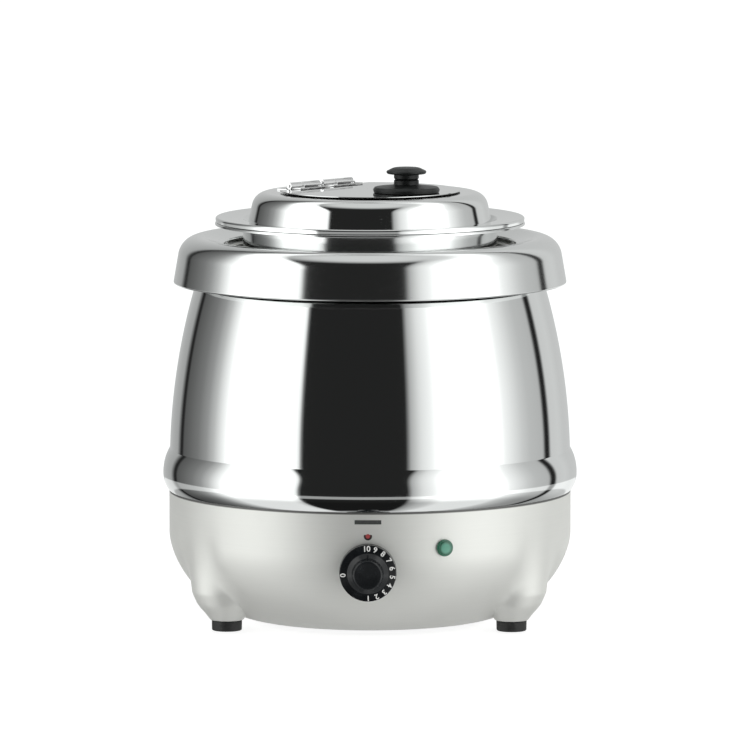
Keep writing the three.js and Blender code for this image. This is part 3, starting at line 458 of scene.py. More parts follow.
def polished_steel(name, tint=(0.80, 0.81, 0.805), roughness=0.05, scuffed=None, back=None):
    """Mirror-polished stainless steel, with the faint rings of the mop and a few hair scratches,
    which fade out over the heights in scuffed. Below the height in back, the sheet keeps the dull
    grey of the mill."""
    new, shader, place = material(name, tint, roughness, 1.0)
    rings = round_the_axis(place, 1.2, 260).noise(1.0, 2)
    haze = place.noise(9, 3)
    first = place.node("ShaderNodeMapping", {}, {0: place, 2: (0.3, 0.5, 0.9), 3: (1500, 90, 90)})
    second = place.node("ShaderNodeMapping", {}, {0: place, 2: (0.7, -0.6, -0.8), 3: (100, 80, 1700)})
    hairs = first.noise(1.0, 1).between(0.73, 0.78) + second.noise(1.0, 1).between(0.73, 0.78)
    hairs = hairs * place.noise(30, 1).between(0.5, 0.62)
    if scuffed:
        low, high = scuffed
        hairs = hairs * (1 - place.split(2).between(low, high))
    worn = tuple(0.93 * value for value in tint) + (1,)
    colour = (haze * 0.6).mix((*tint, 1), worn)
    dullness = roughness - 0.015 + haze * 0.02 + rings * 0.012 + hairs * 0.14
    if back:
        polished = place.split(2).between(back, back + 0.0001)
        colour = polished.mix((0.4, 0.405, 0.4, 1), colour)
        dullness = dullness * polished + (1 - polished) * (0.34 + haze * 0.08)
    feed(shader, "Base Color", colour)
    feed(shader, "Roughness", dullness)
    bump(shader, rings + haze * 6, 0.00002, 0.25)
    return new


barrel_look = polished_steel("polished_steel_barrel", scuffed=(SEAM, SEAM + SCUFFED_HEIGHT))
finish(barrel, barrel_look, "casing", "polished_steel", "barrel_shell")

# ---- Collar --------------------------------------------------------------------------------------
# A ring pressed from the same polished sheet. It hides the joint of barrel and pan, and its inner
# lip sits on the pan's flange.

collar_low, collar_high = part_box("collar_ring")
COLLAR_RADIUS = collar_high.x
COLLAR_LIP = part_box("water_pan")[1].x - 0.0104
COLLAR_SEAT = BARREL_TOP + 0.0014
COLLAR_HEM = 0.0095  # how far the lower edge is folded in
COLLAR_LEAN = 0.0074
COLLAR_RISE = 0.0142
COLLAR_SHOULDER = 0.017
collar = turn(
    "collar_skin",
    rounded(
        [
            (COLLAR_RADIUS - COLLAR_HEM, collar_low.z),
            (COLLAR_RADIUS, collar_low.z, 0.0014),
            (COLLAR_RADIUS - COLLAR_LEAN, COLLAR_SEAT + COLLAR_RISE, COLLAR_SHOULDER),
            (COLLAR_LIP, COLLAR_SEAT + 0.004, 0.0016),
            (COLLAR_LIP, COLLAR_SEAT),
        ],
        14,
    ),
    192,
)
modify(collar, "SOLIDIFY", thickness=STEEL_SHEET, offset=-1)
soften(collar)
collar_look = polished_steel("polished_steel_collar", roughness=0.1)
finish(collar, collar_look, "casing", "polished_steel", "collar_ring")

# ---- Water pan -----------------------------------------------------------------------------------
# A deep-drawn pan that holds the water bath. Its flange lies on the barrel's, and a ring bead in
# its floor carries the soup pot.

pan_low, pan_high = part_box("water_pan")
PAN_RADIUS = 0.1173
PAN_BEAD = 0.064
PAN_BEAD_HEIGHT = 0.005
PAN_CORNER = 0.020
pan = turn(
    "water_pan_skin",
    rounded(
        [
            (0, pan_low.z),
            (PAN_BEAD - 0.004, pan_low.z, 0.002),
            (PAN_BEAD - 0.0015, pan_low.z + PAN_BEAD_HEIGHT, 0.001),
            (PAN_BEAD + 0.0015, pan_low.z + PAN_BEAD_HEIGHT, 0.001),
            (PAN_BEAD + 0.004, pan_low.z, 0.002),
            (PAN_RADIUS, pan_low.z, PAN_CORNER),
            (PAN_RADIUS, pan_high.z - STEEL_SHEET, 0.0008),
            (pan_high.x, pan_high.z - STEEL_SHEET),
        ],
        5,
    ),
)
modify(pan, "SOLIDIFY", thickness=STEEL_SHEET, offset=-1)
soften(pan)
finish(pan, satin_steel("satin_steel_pan", roughness=0.3), "casing", "satin_steel", "water_pan")

# ---- Soup pot ------------------------------------------------------------------------------------
# The lift-out pot is deep-drawn and polished. Its wide brim is turned down at the edge, where two
# hands lift it.

pot_low, pot_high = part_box("inner_pot")
POT_RADIUS = 0.104
POT_CORNER = 0.022
BRIM_HEM = 0.0015
BRIM_EDGE = pot_high.x - STEEL_SHEET
brim_under = pot_high.z - STEEL_SHEET
pot = turn(
    "soup_pot_skin",
    rounded(
        [
            (0, pot_low.z),
            (POT_RADIUS, pot_low.z, POT_CORNER),
            (POT_RADIUS, brim_under, 0.0016),
            (BRIM_EDGE, brim_under, 0.0004),
            (BRIM_EDGE, brim_under - BRIM_HEM),
        ],
        10,
    ),
)
modify(pot, "SOLIDIFY", thickness=STEEL_SHEET, offset=-1)
soften(pot)
pot_look = polished_steel("polished_steel_pot", roughness=0.12)
finish(pot, pot_look, "soup_pot", "polished_steel", "inner_pot")

# ---- Lid -----------------------------------------------------------------------------------------
# A pressed dish of polished sheet: a rolled brim, a step that centres it in the pot's mouth, a
# dome with a round shoulder, and a flat top with a D-shaped opening for the ladle.

lid_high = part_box("lid_ring")[1]
LID_SEAT = pot_high.z + 0.0003
LID_TOP = lid_high.z
BRIM_TOP = LID_SEAT + 0.004
DOME_RADIUS = 0.0996
DOME_TAPER = 0.0052
DOME_SHOULDER = 0.0125
LID_STEP = 0.0024
STEP_RADIUS = POT_RADIUS - 2 * STEEL_SHEET - 0.0006
OPENING_RADIUS = 0.064
OPENING_CHORD = 0.038
HINGE_AZIMUTH = math.radians(49)
step_low = LID_SEAT - LID_STEP + STEEL_SHEET
lid = turn(
    "lid_skin",
    rounded(
        [
            (lid_high.x - 0.0004, LID_SEAT),
            (lid_high.x, BRIM_TOP, 0.0016),
            (STEP_RADIUS + 0.0025, BRIM_TOP - 0.0016, 0.002),
            (STEP_RADIUS - 0.0004, step_low, 0.0005),
            (DOME_RADIUS + 0.0006, step_low, 0.0003),
            (DOME_RADIUS - DOME_TAPER, LID_TOP, DOME_SHOULDER),
            (0, LID_TOP),
        ],
        12,
    ),
    160,
)
modify(lid, "SOLIDIFY", thickness=STEEL_SHEET, offset=-1)


def d_plate(name, radius, chord, low, high, sides=128):
    """A disc cut off straight beside the hinge line, between two heights."""
    bpy.ops.object.select_all(action="DESELECT")
    bpy.ops.mesh.primitive_cylinder_add(
        vertices=sides, radius=radius, depth=high - low, location=(0, 0, (low + high) / 2)
    )
    plate = bpy.context.object
    plate.name = plate.data.name = name
    bpy.ops.object.transform_apply()
    away = Vector((-math.sin(HINGE_AZIMUTH), math.cos(HINGE_AZIMUTH), 0))
    side = {"plane_co": away * chord, "plane_no": away, "clear_outer": True, "use_fill": True}
    edit(plate, (bpy.ops.mesh.bisect, side))
    return plate


opening_ends = (LID_TOP - 0.003, LID_TOP + 0.003)
cut(lid, d_plate("opening", OPENING_RADIUS, OPENING_CHORD, *opening_ends))
soften(lid)
lid_look = polished_steel("polished_steel_lid")
finish(lid, lid_look, "lid", "polished_steel", "lid_ring")

# ---- Flap ----------------------------------------------------------------------------------------
# A flat D of sheet, polished on top and mill grey below, with a deburred edge. It covers the
# opening and swings on the two hinges.

flap_low, flap_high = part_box("lid_flap")
FLAP_RADIUS = 0.074
FLAP_CHORD = 0.050
KNOB_DISTANCE = 0.0397
SCREW_HOLE = 0.0022
knob_x = KNOB_DISTANCE * math.sin(HINGE_AZIMUTH)
knob_y = -KNOB_DISTANCE * math.cos(HINGE_AZIMUTH)


def drill(name, radius, low, high, centre, clearance=0.001):
    """A round bar that stands out of both faces of a plate, to cut a hole with."""
    ends = (low - clearance, high + clearance)
    return solid(name, [(0, ends[0]), (radius, ends[0]), (radius, ends[1]), (0, ends[1])], 32, centre)


flap = d_plate("flap_plate", FLAP_RADIUS, FLAP_CHORD, flap_low.z, flap_high.z, 160)
cut(flap, drill("screw_hole", SCREW_HOLE, flap_low.z, flap_high.z, (knob_x, knob_y)))
soften(flap, 0.00022)
flap_look = polished_steel("polished_steel_flap", roughness=0.04, back=flap_low.z + 0.0003)
finish(flap, flap_look, "flap", "polished_steel", "lid_flap")

# ---- Hinges --------------------------------------------------------------------------------------
# Two small butt hinges of polished steel. Each has a leaf on the lid and a leaf on the flap, held
# by two rivets, knuckles rolled from the leaves, and a pin with domed ends.

HINGE_OFFSET = 0.055
HINGE_LENGTH = 0.036
HINGE_SPACING = 0.0405
KNUCKLE_RADIUS = 0.00275
PIN_RADIUS = 0.0014
FIXED_SHARE = 0.4
KNUCKLE_GAP = 0.0003
LEAF_WIDTH = 0.013
RIVET_RADIUS = 0.0016
RIVET_HEIGHT = 0.0007
RIVET_STEPS = 5
RIVET_PLACES = (-0.3, 0.3)  # along the leaf, as shares of its length
PIN_CLEARANCE = 0.00008
PIN_STAND = 0.0008  # how far the pin's domed ends stand out
pin_low, pin_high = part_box("hinge_pin_left")
PIN_HEIGHT = (pin_low.z + pin_high.z) / 2
hinge_look = polished_steel("polished_steel_hinge", (0.86, 0.86, 0.86), 0.1)


def on_hinge_line(piece, along):
    """Moves a piece made about the origin, with the pin along X, to its place on the lid."""
    across = Vector((-math.sin(HINGE_AZIMUTH), math.cos(HINGE_AZIMUTH), 0)) * HINGE_OFFSET
    line = Vector((math.cos(HINGE_AZIMUTH), math.sin(HINGE_AZIMUTH), 0)) * along
    settle(piece, (0, 0, HINGE_AZIMUTH), across + line + Vector((0, 0, PIN_HEIGHT)))


def box_between(name, low, high):
    """A box between two corners."""
    size = [b - a for a, b in zip(low, high)]
    bpy.ops.object.select_all(action="DESELECT")
    bpy.ops.mesh.primitive_cube_add(size=1, location=[(a + b) / 2 for a, b in zip(low, high)])
    box = bpy.context.object
    box.name = box.data.name = name
    box.scale = size
    bpy.ops.object.transform_apply()
    return box


ALONG_X = (0, math.pi / 2, 0)  # turns a piece made upright so that its axis lies along X


def hinge_leaf(name, start, end, side, low):
    """A rolled knuckle, the plate that it is rolled from, and two rivets."""
    bore = PIN_RADIUS + PIN_CLEARANCE
    knuckle = [(bore, start), (KNUCKLE_RADIUS, start), (KNUCKLE_RADIUS, end), (bore, end), (bore, start)]
    leaf = solid(name, knuckle, 40)
    settle(leaf, ALONG_X)
    half = HINGE_LENGTH / 2
    near, far = KNUCKLE_RADIUS + 0.0006, LEAF_WIDTH
    ys = sorted((side * near, side * far))
    plate = box_between("plate", (-half, ys[0], low), (half, ys[1], low + STEEL_SHEET))
    ys = sorted((side * (PIN_RADIUS + 0.0006), side * (near + 0.001)))
    roll = box_between("roll", (start, ys[0], low), (end, ys[1], low + STEEL_SHEET + 0.001))
    cut(plate, roll, "UNION")
    cut(leaf, plate, "UNION")
    soften(leaf, 0.00018, 2, 55)
    for share in RIVET_PLACES:
        top = low + STEEL_SHEET - 0.0001
        angles = [math.pi / 2 * step / RIVET_STEPS for step in range(RIVET_STEPS)]
        head = [(RIVET_RADIUS * math.cos(a), top + RIVET_HEIGHT * math.sin(a)) for a in angles]
        outline = [(0, top), *head, (0, top + RIVET_HEIGHT)]
        rivet = solid("rivet", outline, 24, (share * HINGE_LENGTH, side * (near + far) / 2))
        cut(leaf, rivet, "UNION")
    smooth(leaf)
    return leaf


for side, sign in (("left", -1), ("right", 1)):
    start = -HINGE_LENGTH / 2
    joint = start + HINGE_LENGTH * FIXED_SHARE
    fixed_low = LID_TOP + KNUCKLE_GAP - PIN_HEIGHT
    moving_low = flap_high.z + KNUCKLE_GAP - PIN_HEIGHT
    fixed = hinge_leaf(f"hinge_leaf_on_lid_{side}", start, joint - KNUCKLE_GAP / 2, 1, fixed_low)
    moving = hinge_leaf(f"hinge_leaf_on_flap_{side}", joint + KNUCKLE_GAP / 2, -start, -1, moving_low)
    reach = HINGE_LENGTH / 2 + PIN_STAND
    corners = [(0, -reach), (PIN_RADIUS, -reach, 0.0007), (PIN_RADIUS, reach, 0.0007), (0, reach)]
    pin = solid(f"hinge_pin_{side}_round", rounded(corners, 5), 32)
    settle(pin, ALONG_X)
    smooth(pin, 60)
    for piece in (fixed, moving, pin):
        on_hinge_line(piece, sign * HINGE_SPACING / 2)
    finish(fixed, hinge_look, "lid", "polished_steel", f"hinge_fixed_leaf_{side}")
    finish(moving, hinge_look, "flap", "polished_steel", f"hinge_moving_leaf_{side}")
    finish(pin, hinge_look, "lid", "polished_steel", f"hinge_pin_{side}")

# ---- Lid knob ------------------------------------------------------------------------------------
# Two black mouldings, a rose with a stem and a mushroom cap, clamped to the flap by one screw from
# below.

knob_low, knob_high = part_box("knob_base")
cap_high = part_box("knob_cap")[1].z
KNOB_FOOT = knob_low.z
ROSE_RADIUS = 0.0273
ROSE_HEIGHT = 0.0052
STEM_RADIUS = 0.0102
CAP_RADIUS = 0.017
CAP_DEPTH = 0.0056
SCREW_BORE = 0.0021
SCREW_END = 0.004  # the blind bore stops this far under the cap's top
knob_centre = (knob_x, knob_y)
stem_split = knob_high.z
rose = solid(
    "knob_rose",
    rounded(
        [
            (SCREW_BORE, KNOB_FOOT),
            (ROSE_RADIUS - 0.0006, KNOB_FOOT, 0.0006),
            (ROSE_RADIUS, KNOB_FOOT + 0.0022, 0.001),
            (ROSE_RADIUS - 0.0015, KNOB_FOOT + 0.0042, 0.0012),
            (STEM_RADIUS + 0.006, KNOB_FOOT + ROSE_HEIGHT, 0.004),
            (STEM_RADIUS, KNOB_FOOT + ROSE_HEIGHT + 0.001, 0.0008),
            (STEM_RADIUS, stem_split - 0.0008),
            (STEM_RADIUS - 0.0008, stem_split),
            (SCREW_BORE, stem_split),
            (SCREW_BORE, KNOB_FOOT),
        ],
        6,
    ),
    96,
    knob_centre,
)
cap_low = cap_high - CAP_DEPTH
bore_end = cap_high - SCREW_END
cap = solid(
    "knob_mushroom",
    rounded(
        [
            (0, bore_end),
            (SCREW_BORE, bore_end),
            (SCREW_BORE, stem_split + 0.0003),
            (STEM_RADIUS - 0.0008, stem_split + 0.0003),
            (STEM_RADIUS, stem_split + 0.0011),
            (STEM_RADIUS, cap_low - 0.0004, 0.0006),
            (CAP_RADIUS - 0.0015, cap_low, 0.0006),
            (CAP_RADIUS, cap_low + 0.0019, 0.0012),
            (CAP_RADIUS * 0.62, cap_high - 0.0005, 0.008),
            (0, cap_high),
        ],
        6,
    ),
    96,
    knob_centre,
)


def black_plastic(name, tint=(0.018, 0.02, 0.021), roughness=0.34, gloss=0.45):
    """Black phenolic moulding: a fine sparkle in the surface and a little wear."""
    new, shader, place = material(name, tint, roughness, 0.0, Specular_IOR_Level=gloss)
    grain = place.noise(1800, 2)
    patches = place.noise(70, 4, 0.6)
    dusty = tuple(1.9 * value + 0.004 for value in tint) + (1,)
    feed(shader, "Base Color", patches.between(0.4, 0.75).mix((*tint, 1), dusty))
    feed(shader, "Roughness", roughness - 0.06 + patches * 0.14)
    bump(shader, grain, 0.00003, 0.35)
    return new


knob_look = black_plastic("black_plastic_knob", (0.009, 0.01, 0.01), 0.4, 0.3)
for piece, node in ((rose, "knob_base"), (cap, "knob_cap")):
    smooth(piece)
    finish(piece, knob_look, "flap", "black_plastic", node)

# ---- Screws --------------------------------------------------------------------------------------
# Zinc-plated pan-head screws with a cross recess: one under the knob, three in the bottom cover and
# one in each rubber foot.


def zinc(name, tint=(0.60, 0.61, 0.63), roughness=0.38):
    """Bright zinc plate on steel, slightly blotchy."""
    new, shader, place = material(name, tint, roughness, 1.0)
    blotches = place.noise(160, 3, 0.6)
    warm = (tint[0], tint[1] * 0.97, tint[2] * 0.9, 1)
    feed(shader, "Base Color", blotches.between(0.35, 0.7).mix((*tint, 1), warm))
    feed(shader, "Roughness", roughness - 0.08 + blotches * 0.16)
    bump(shader, blotches, 0.00002, 0.4)
    return new


zinc_look = zinc("zinc_plate")


def pan_screw(name, node, body):
    """A screw in the place of its CAD node, head down."""
    low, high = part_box(node)
    radius = (high.x - low.x) / 2
    centre = ((low.x + high.x) / 2, (low.y + high.y) / 2)
    shank = radius * 0.5
    head = min(0.002, radius * 0.6)
    outline = rounded(
        [
            (0, low.z),
            (radius * 0.72, low.z, radius * 0.3),
            (radius, low.z + head * 0.6, radius * 0.15),
            (radius, low.z + head),
            (shank, low.z + head),
            (shank, high.z - 0.0005),
            (shank - 0.0004, high.z),
            (0, high.z),
        ],
        4,
    )
    screw = solid(name, outline, 40, centre)
    for angle in (0, math.pi / 2):
        corner = Vector((radius * 0.5, radius * 0.1, head * 0.6))
        slot = box_between("slot", (-corner.x, -corner.y, -head), corner)
        settle(slot, (0, 0, angle), (*centre, low.z))
        cut(screw, slot)
    smooth(screw)
    finish(screw, zinc_look, body, "zinc_steel", node)


pan_screw("knob_fixing_screw", "knob_screw", "flap")
for number in (1, 2, 3):
    pan_screw(f"bottom_cover_fixing_{number}", f"cover_screw_{number}", "casing")
for side in LEG_NAMES:
    pan_screw(f"foot_fixing_{side}", f"foot_screw_{side}", "casing")

# ---- Feet ----------------------------------------------------------------------------------------
# Turned black rubber buffers with a recess for the screw's head, one under each leg.

FOOT_RECESS = 0.005
FOOT_RECESS_DEPTH = 0.003
FOOT_BORE = 0.0023
foot_rubber, shader, place = material("black_rubber", (0.016, 0.016, 0.016), 0.62, 0.0)
bloom = place.noise(220, 4, 0.65)
dusty = bloom.between(0.45, 0.8)
feed(shader, "Base Color", dusty.mix((0.012, 0.012, 0.012, 1), (0.04, 0.04, 0.038, 1)))
feed(shader, "Roughness", 0.5 + bloom * 0.25)
bump(shader, bloom, 0.00006, 0.5)
for side, azimuth in LEG_NAMES.items():
    low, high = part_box(f"foot_{side}")
    radius = (high.x - low.x) / 2
    outline = rounded(
        [
            (FOOT_RECESS, 0),
            (radius, 0, 0.0012),
            (radius + 0.0002, high.z, 0.0007),
            (FOOT_BORE, high.z),
            (FOOT_BORE, FOOT_RECESS_DEPTH),
            (FOOT_RECESS, FOOT_RECESS_DEPTH),
            (FOOT_RECESS, 0),
        ],
        5,
    )
    foot = solid(f"rubber_foot_{side}", outline, 64, around(LEG_CENTRE, azimuth))
    smooth(foot)
    finish(foot, foot_rubber, "casing", "black_rubber", f"foot_{side}")

# ---- Bottom cover --------------------------------------------------------------------------------
# A zinc-plated plate screwed under the base, with a stiffening rib and a ring of cooling holes.

cover_low, cover_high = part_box("bottom_cover")
COVER_RADIUS = cover_high.x
VENTS = 8
VENT_CIRCLE = 0.050
VENT_RADIUS = 0.005
RIB_RADIUS = 0.068
RIB_DEPTH = 0.0009
cover = turn(
    "bottom_plate",
    rounded(
        [
            (0, cover_low.z),
            (RIB_RADIUS - 0.003, cover_low.z, 0.001),
            (RIB_RADIUS - 0.0015, cover_low.z - RIB_DEPTH, 0.001),
            (RIB_RADIUS + 0.0015, cover_low.z - RIB_DEPTH, 0.001),
            (RIB_RADIUS + 0.003, cover_low.z, 0.001),
            (COVER_RADIUS, cover_low.z),
        ],
        4,
    ),
    96,
)
modify(cover, "SOLIDIFY", thickness=cover_high.z - cover_low.z, offset=-1)
for number in range(VENTS):
    place = around(VENT_CIRCLE, 360 / VENTS * number)
    cut(cover, drill("vent", VENT_RADIUS, cover_low.z, cover_high.z, place, 0.002))
soften(cover)
finish(cover, zinc_look, "casing", "zinc_steel", "bottom_cover")

# ---- Control dial --------------------------------------------------------------------------------
# A black moulding pushed on the thermostat's shaft: a deep skirt with a sloping numbered face, and a
# round grip that rises from a cone with a pointer rib.

dial_low, dial_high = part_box("control_dial")
DIAL_HEIGHT = dial_high.y - dial_low.y
DIAL_RADIUS = (dial_high.x - dial_low.x) / 2
DIAL_CENTRE = Vector((0, dial_high.y, (dial_low.z + dial_high.z) / 2))
SKIRT = DIAL_HEIGHT * 0.4
SKIRT_EDGE = (DIAL_RADIUS - 0.0004, SKIRT - 0.0006)
GRIP_FOOT = 0.0164
GRIP_RADIUS = 0.0127
GRIP_TIP = 0.0116
CONE_TOP = 0.0048
FACE_TOP = SKIRT + 0.0008
POINTER_WIDTH = 0.0014
POINTER_HEIGHT = 0.0062


FACING_FRONT = (math.pi / 2, 0, 0)  # turns a piece made about +Z so that it faces -Y

dial = solid(
    "dial_moulding",
    rounded(
        [
            (0, 0),
            (DIAL_RADIUS, 0, 0.0005),
            (*SKIRT_EDGE, 0.0007),
            (GRIP_FOOT, FACE_TOP, 0.001),
            (GRIP_RADIUS, SKIRT + CONE_TOP, 0.0015),
            (GRIP_TIP, DIAL_HEIGHT, 0.0016),
            (0, DIAL_HEIGHT - 0.0006),
        ],
        6,
    ),
    128,
)
pointer = box_between(
    "pointer",
    (-POINTER_WIDTH / 2, GRIP_TIP - 0.0025, SKIRT),
    (POINTER_WIDTH / 2, GRIP_FOOT - 0.0012, SKIRT + POINTER_HEIGHT),
)
cut(dial, pointer, "UNION")
soften(dial, 0.0003, 2, 35)
settle(dial, FACING_FRONT, DIAL_CENTRE)
dial_look = black_plastic("black_plastic_dial", (0.005, 0.006, 0.007), 0.24, 0.4)
finish(dial, dial_look, "dial", "black_plastic", "control_dial")

# ---- Dial numbers --------------------------------------------------------------------------------
# White figures printed on the dial's face, 1 to 10 and a 0 apart from them. Their tops point
# outwards.

NUMBER_CIRCLE = 0.0198
NUMBER_HEIGHT = 0.0062
NUMBER_STEP = 20.2
FIRST_NUMBER = -89
ZERO_DEGREES = 184
FIGURE_WEIGHT = 0.00012
PRINT_THICKNESS = 0.00012
slope = (FACE_TOP - SKIRT_EDGE[1]) / (SKIRT_EDGE[0] - GRIP_FOOT)
height = SKIRT_EDGE[1] + slope * (SKIRT_EDGE[0] - NUMBER_CIRCLE) + PRINT_THICKNESS * 0.8
figures = []
for number in range(11):
    degrees = FIRST_NUMBER + NUMBER_STEP * (number - 1) if number else ZERO_DEGREES
    angle = math.radians(degrees)
    bpy.ops.object.select_all(action="DESELECT")
    bpy.ops.object.text_add(location=(0, 0, 0))
    figure = bpy.context.object
    figure.data.body = str(number)
    figure.data.size = NUMBER_HEIGHT
    figure.data.align_x = "CENTER"
    figure.data.align_y = "CENTER"
    figure.data.extrude = PRINT_THICKNESS / 2
    figure.data.offset = FIGURE_WEIGHT
    bpy.ops.object.convert(target="MESH")
    figure = bpy.context.object
    place = (NUMBER_CIRCLE * math.cos(angle), NUMBER_CIRCLE * math.sin(angle), height)
    settle(figure, (-math.atan(slope), 0, angle - math.pi / 2), place)
    figures.append(figure)
pick(figures[0])
for figure in figures:
    figure.select_set(True)
bpy.ops.object.join()
numbers = bpy.context.object
numbers.name = numbers.data.name = "dial_numbers"
edit(numbers, (bpy.ops.mesh.remove_doubles, {"threshold": 1e-7}))
settle(numbers, FACING_FRONT, DIAL_CENTRE)
white_ink, shader, place = material("white_ink", (0.8, 0.8, 0.78), 0.5)
specks = place.noise(2500, 2)
even = specks.between(0.3, 0.7)
feed(shader, "Base Color", even.mix((0.7, 0.7, 0.68, 1), (0.85, 0.85, 0.83, 1)))
feed(shader, "Roughness", 0.4 + specks * 0.2)
finish(numbers, white_ink, "dial", "black_plastic")

# ---- Marks on the base ---------------------------------------------------------------------------
# Ink printed on the base above the dial: the dial's index, black with a red centre, and a plain dark
# bar.

INDEX_HEIGHT = 0.0899
INDEX_RADIUS = 0.0033
BAR_HEIGHT = 0.1012
BAR_WIDTH = 0.0214
BAR_DEPTH = 0.0034
MARK_START = base_low.y - 0.01  # the marks are made in front of the base, and then laid on it


def ink(name, tint):
    """Screen-printing ink on metal, a little uneven."""
    new, shader, place = material(name, tint, 0.45)
    uneven = place.noise(1500, 3)
    pale = tuple(1.5 * value + 0.01 for value in tint) + (1,)
    feed(shader, "Base Color", uneven.between(0.45, 0.75).mix((*tint, 1), pale))
    feed(shader, "Roughness", 0.35 + uneven * 0.2)
    return new


def print_on_base(mark, lift):
    """Wraps a flat mark that faces -Y on the base's wall and gives it the ink's thickness."""
    modify(
        mark, "SHRINKWRAP", target=base, wrap_method="PROJECT", use_project_y=True,
        use_positive_direction=True, use_negative_direction=False, offset=lift,
    )
    modify(mark, "SOLIDIFY", thickness=PRINT_THICKNESS / 2, offset=0)


def grid_mark(name, width, height, middle, across=24, up=6):
    """A flat grid that faces -Y in front of the base."""
    bpy.ops.object.select_all(action="DESELECT")
    bpy.ops.mesh.primitive_grid_add(x_subdivisions=across, y_subdivisions=up, size=1)
    mark = bpy.context.object
    mark.name = mark.data.name = name
    mark.scale = (width, height, 1)
    settle(mark, FACING_FRONT, (0, MARK_START, middle))
    return mark


bar = grid_mark("printed_bar", BAR_WIDTH, BAR_DEPTH, BAR_HEIGHT)
print_on_base(bar, 0.00012)
finish(bar, ink("dark_ink", (0.04, 0.043, 0.041)), "casing", "satin_steel")


def disc_mark(name, radius, top):
    """A flat disc that faces -Y in front of the base, cut off level at the top."""
    disc = solid(name, [(0, 0), (radius * 0.5, 0), (radius, 0), (radius, 0.0001), (0, 0.0001)], 40)
    settle(disc, FACING_FRONT, (0, MARK_START, INDEX_HEIGHT))
    level = {"plane_co": (0, 0, INDEX_HEIGHT + top), "plane_no": (0, 0, 1)}
    level |= {"clear_outer": True, "use_fill": True}
    edit(disc, (bpy.ops.mesh.bisect, level))
    return disc


index_black = disc_mark("index_mark_black", INDEX_RADIUS, INDEX_RADIUS * 0.35)
index_red = disc_mark("index_mark_red", INDEX_RADIUS * 0.55, INDEX_RADIUS)
for mark, lift, colour in (
    (index_black, 0.00008, (0.03, 0.02, 0.02)),
    (index_red, 0.00022, (0.36, 0.05, 0.05)),
):
    front = max(vertex.co.y for vertex in mark.data.vertices)
    settle(mark, location=(0, -(BASE_RADIUS + lift) - front, 0))
    finish(mark, ink(f"ink_{mark.name}", colour), "casing", "satin_steel")

# ---- Pilot lamp ----------------------------------------------------------------------------------
# A snap-in neon lamp: a green translucent lens with a flange and a raised flat middle, and a black
# body behind the wall.

lens_low, lens_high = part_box("pilot_lamp_lens")
LAMP_AZIMUTH = math.radians(21.8)
LAMP_HEIGHT = (lens_low.z + lens_high.z) / 2
LAMP_RADIUS = (lens_high.z - lens_low.z) / 2
LENS_RADIUS = 0.0050
LENS_DEPTH = 0.0038
lens = solid(
    "pilot_lens",
    rounded(
        [
            (0, 0.0003),
            (LAMP_RADIUS, 0.0003, 0.0002),
            (LAMP_RADIUS, 0.0022, 0.0008),
            (LENS_RADIUS + 0.0004, 0.0024, 0.0003),
            (LENS_RADIUS, LENS_DEPTH - 0.0003, 0.0006),
            (0, LENS_DEPTH),
        ],
        5,
    ),
    64,
)
smooth(lens)
lamp_place = (
    BASE_RADIUS * math.sin(LAMP_AZIMUTH), -BASE_RADIUS * math.cos(LAMP_AZIMUTH), LAMP_HEIGHT
)
settle(lens, (math.pi / 2, 0, LAMP_AZIMUTH), lamp_place)
green, shader, place = material("green_lens", (0.02, 0.25, 0.14), 0.14, 0.0, Coat_Weight=0.5)
inner = place.node("ShaderNodeVectorMath", {"operation": "DISTANCE"}, {0: place, 1: lamp_place}, 1)
facets = place.noise(900, 2)
glow = 1 - inner.between(0.0045, 0.0062)
lit = glow * 0.8 + facets * 0.2
feed(shader, "Base Color", lit.mix((0.006, 0.09, 0.045, 1), (0.06, 0.30, 0.20, 1)))
feed(shader, "Roughness", 0.1 + facets * 0.15)
bump(shader, facets, 0.00008, 0.3)
finish(lens, green, "casing", "green_lens", "pilot_lamp_lens")

# ---- Cable gland ---------------------------------------------------------------------------------
# A black nylon gland at the back: a hexagon against the wall, a ribbed dome nut and a round bore for
# the mains cord.

gland_low, gland_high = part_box("cable_gland")
GLAND_HEIGHT = (gland_low.z + gland_high.z) / 2
GLAND_REACH = gland_high.y - BASE_RADIUS
GLAND_BORE = 0.004
GLAND_INSIDE = gland_low.y - BASE_RADIUS
GLAND_THREAD = 0.006
DOME_NUT = 0.009
DOME_NUT_TIP = 0.0076
HEXAGON_RADIUS = 0.011
HEXAGON_DEPTH = 0.0047
RIBS = 12
RIB_THICKNESS = 0.0008
gland = solid(
    "gland_moulding",
    rounded(
        [
            (GLAND_BORE, GLAND_INSIDE),
            (GLAND_THREAD, GLAND_INSIDE),
            (GLAND_THREAD, 0.004),
            (DOME_NUT, 0.0045),
            (DOME_NUT, 0.012, 0.002),
            (DOME_NUT_TIP, GLAND_REACH, 0.002),
            (GLAND_BORE, GLAND_REACH),
            (GLAND_BORE, GLAND_INSIDE),
        ],
        5,
    ),
    64,
)
bpy.ops.object.select_all(action="DESELECT")
bpy.ops.mesh.primitive_cylinder_add(vertices=6, radius=HEXAGON_RADIUS, depth=HEXAGON_DEPTH)
hexagon = bpy.context.object
settle(hexagon, location=(0, 0, HEXAGON_DEPTH / 2 + 0.0003))
bore_radius = GLAND_THREAD - 0.0005
bore = solid("bore", [(0, -0.001), (bore_radius, -0.001), (bore_radius, 0.006), (0, 0.006)], 48)
cut(hexagon, bore)
modify(hexagon, "BEVEL", width=0.0006, segments=3, limit_method="ANGLE", angle_limit=math.radians(50))
cut(gland, hexagon, "UNION")
rib_outline = [(0, 0.006), (RIB_THICKNESS, 0.006), (RIB_THICKNESS, 0.0125), (0, 0.0132)]
for number in range(RIBS):
    cut(gland, solid("rib", rib_outline, 12, around(DOME_NUT, 360 / RIBS * number)), "UNION")
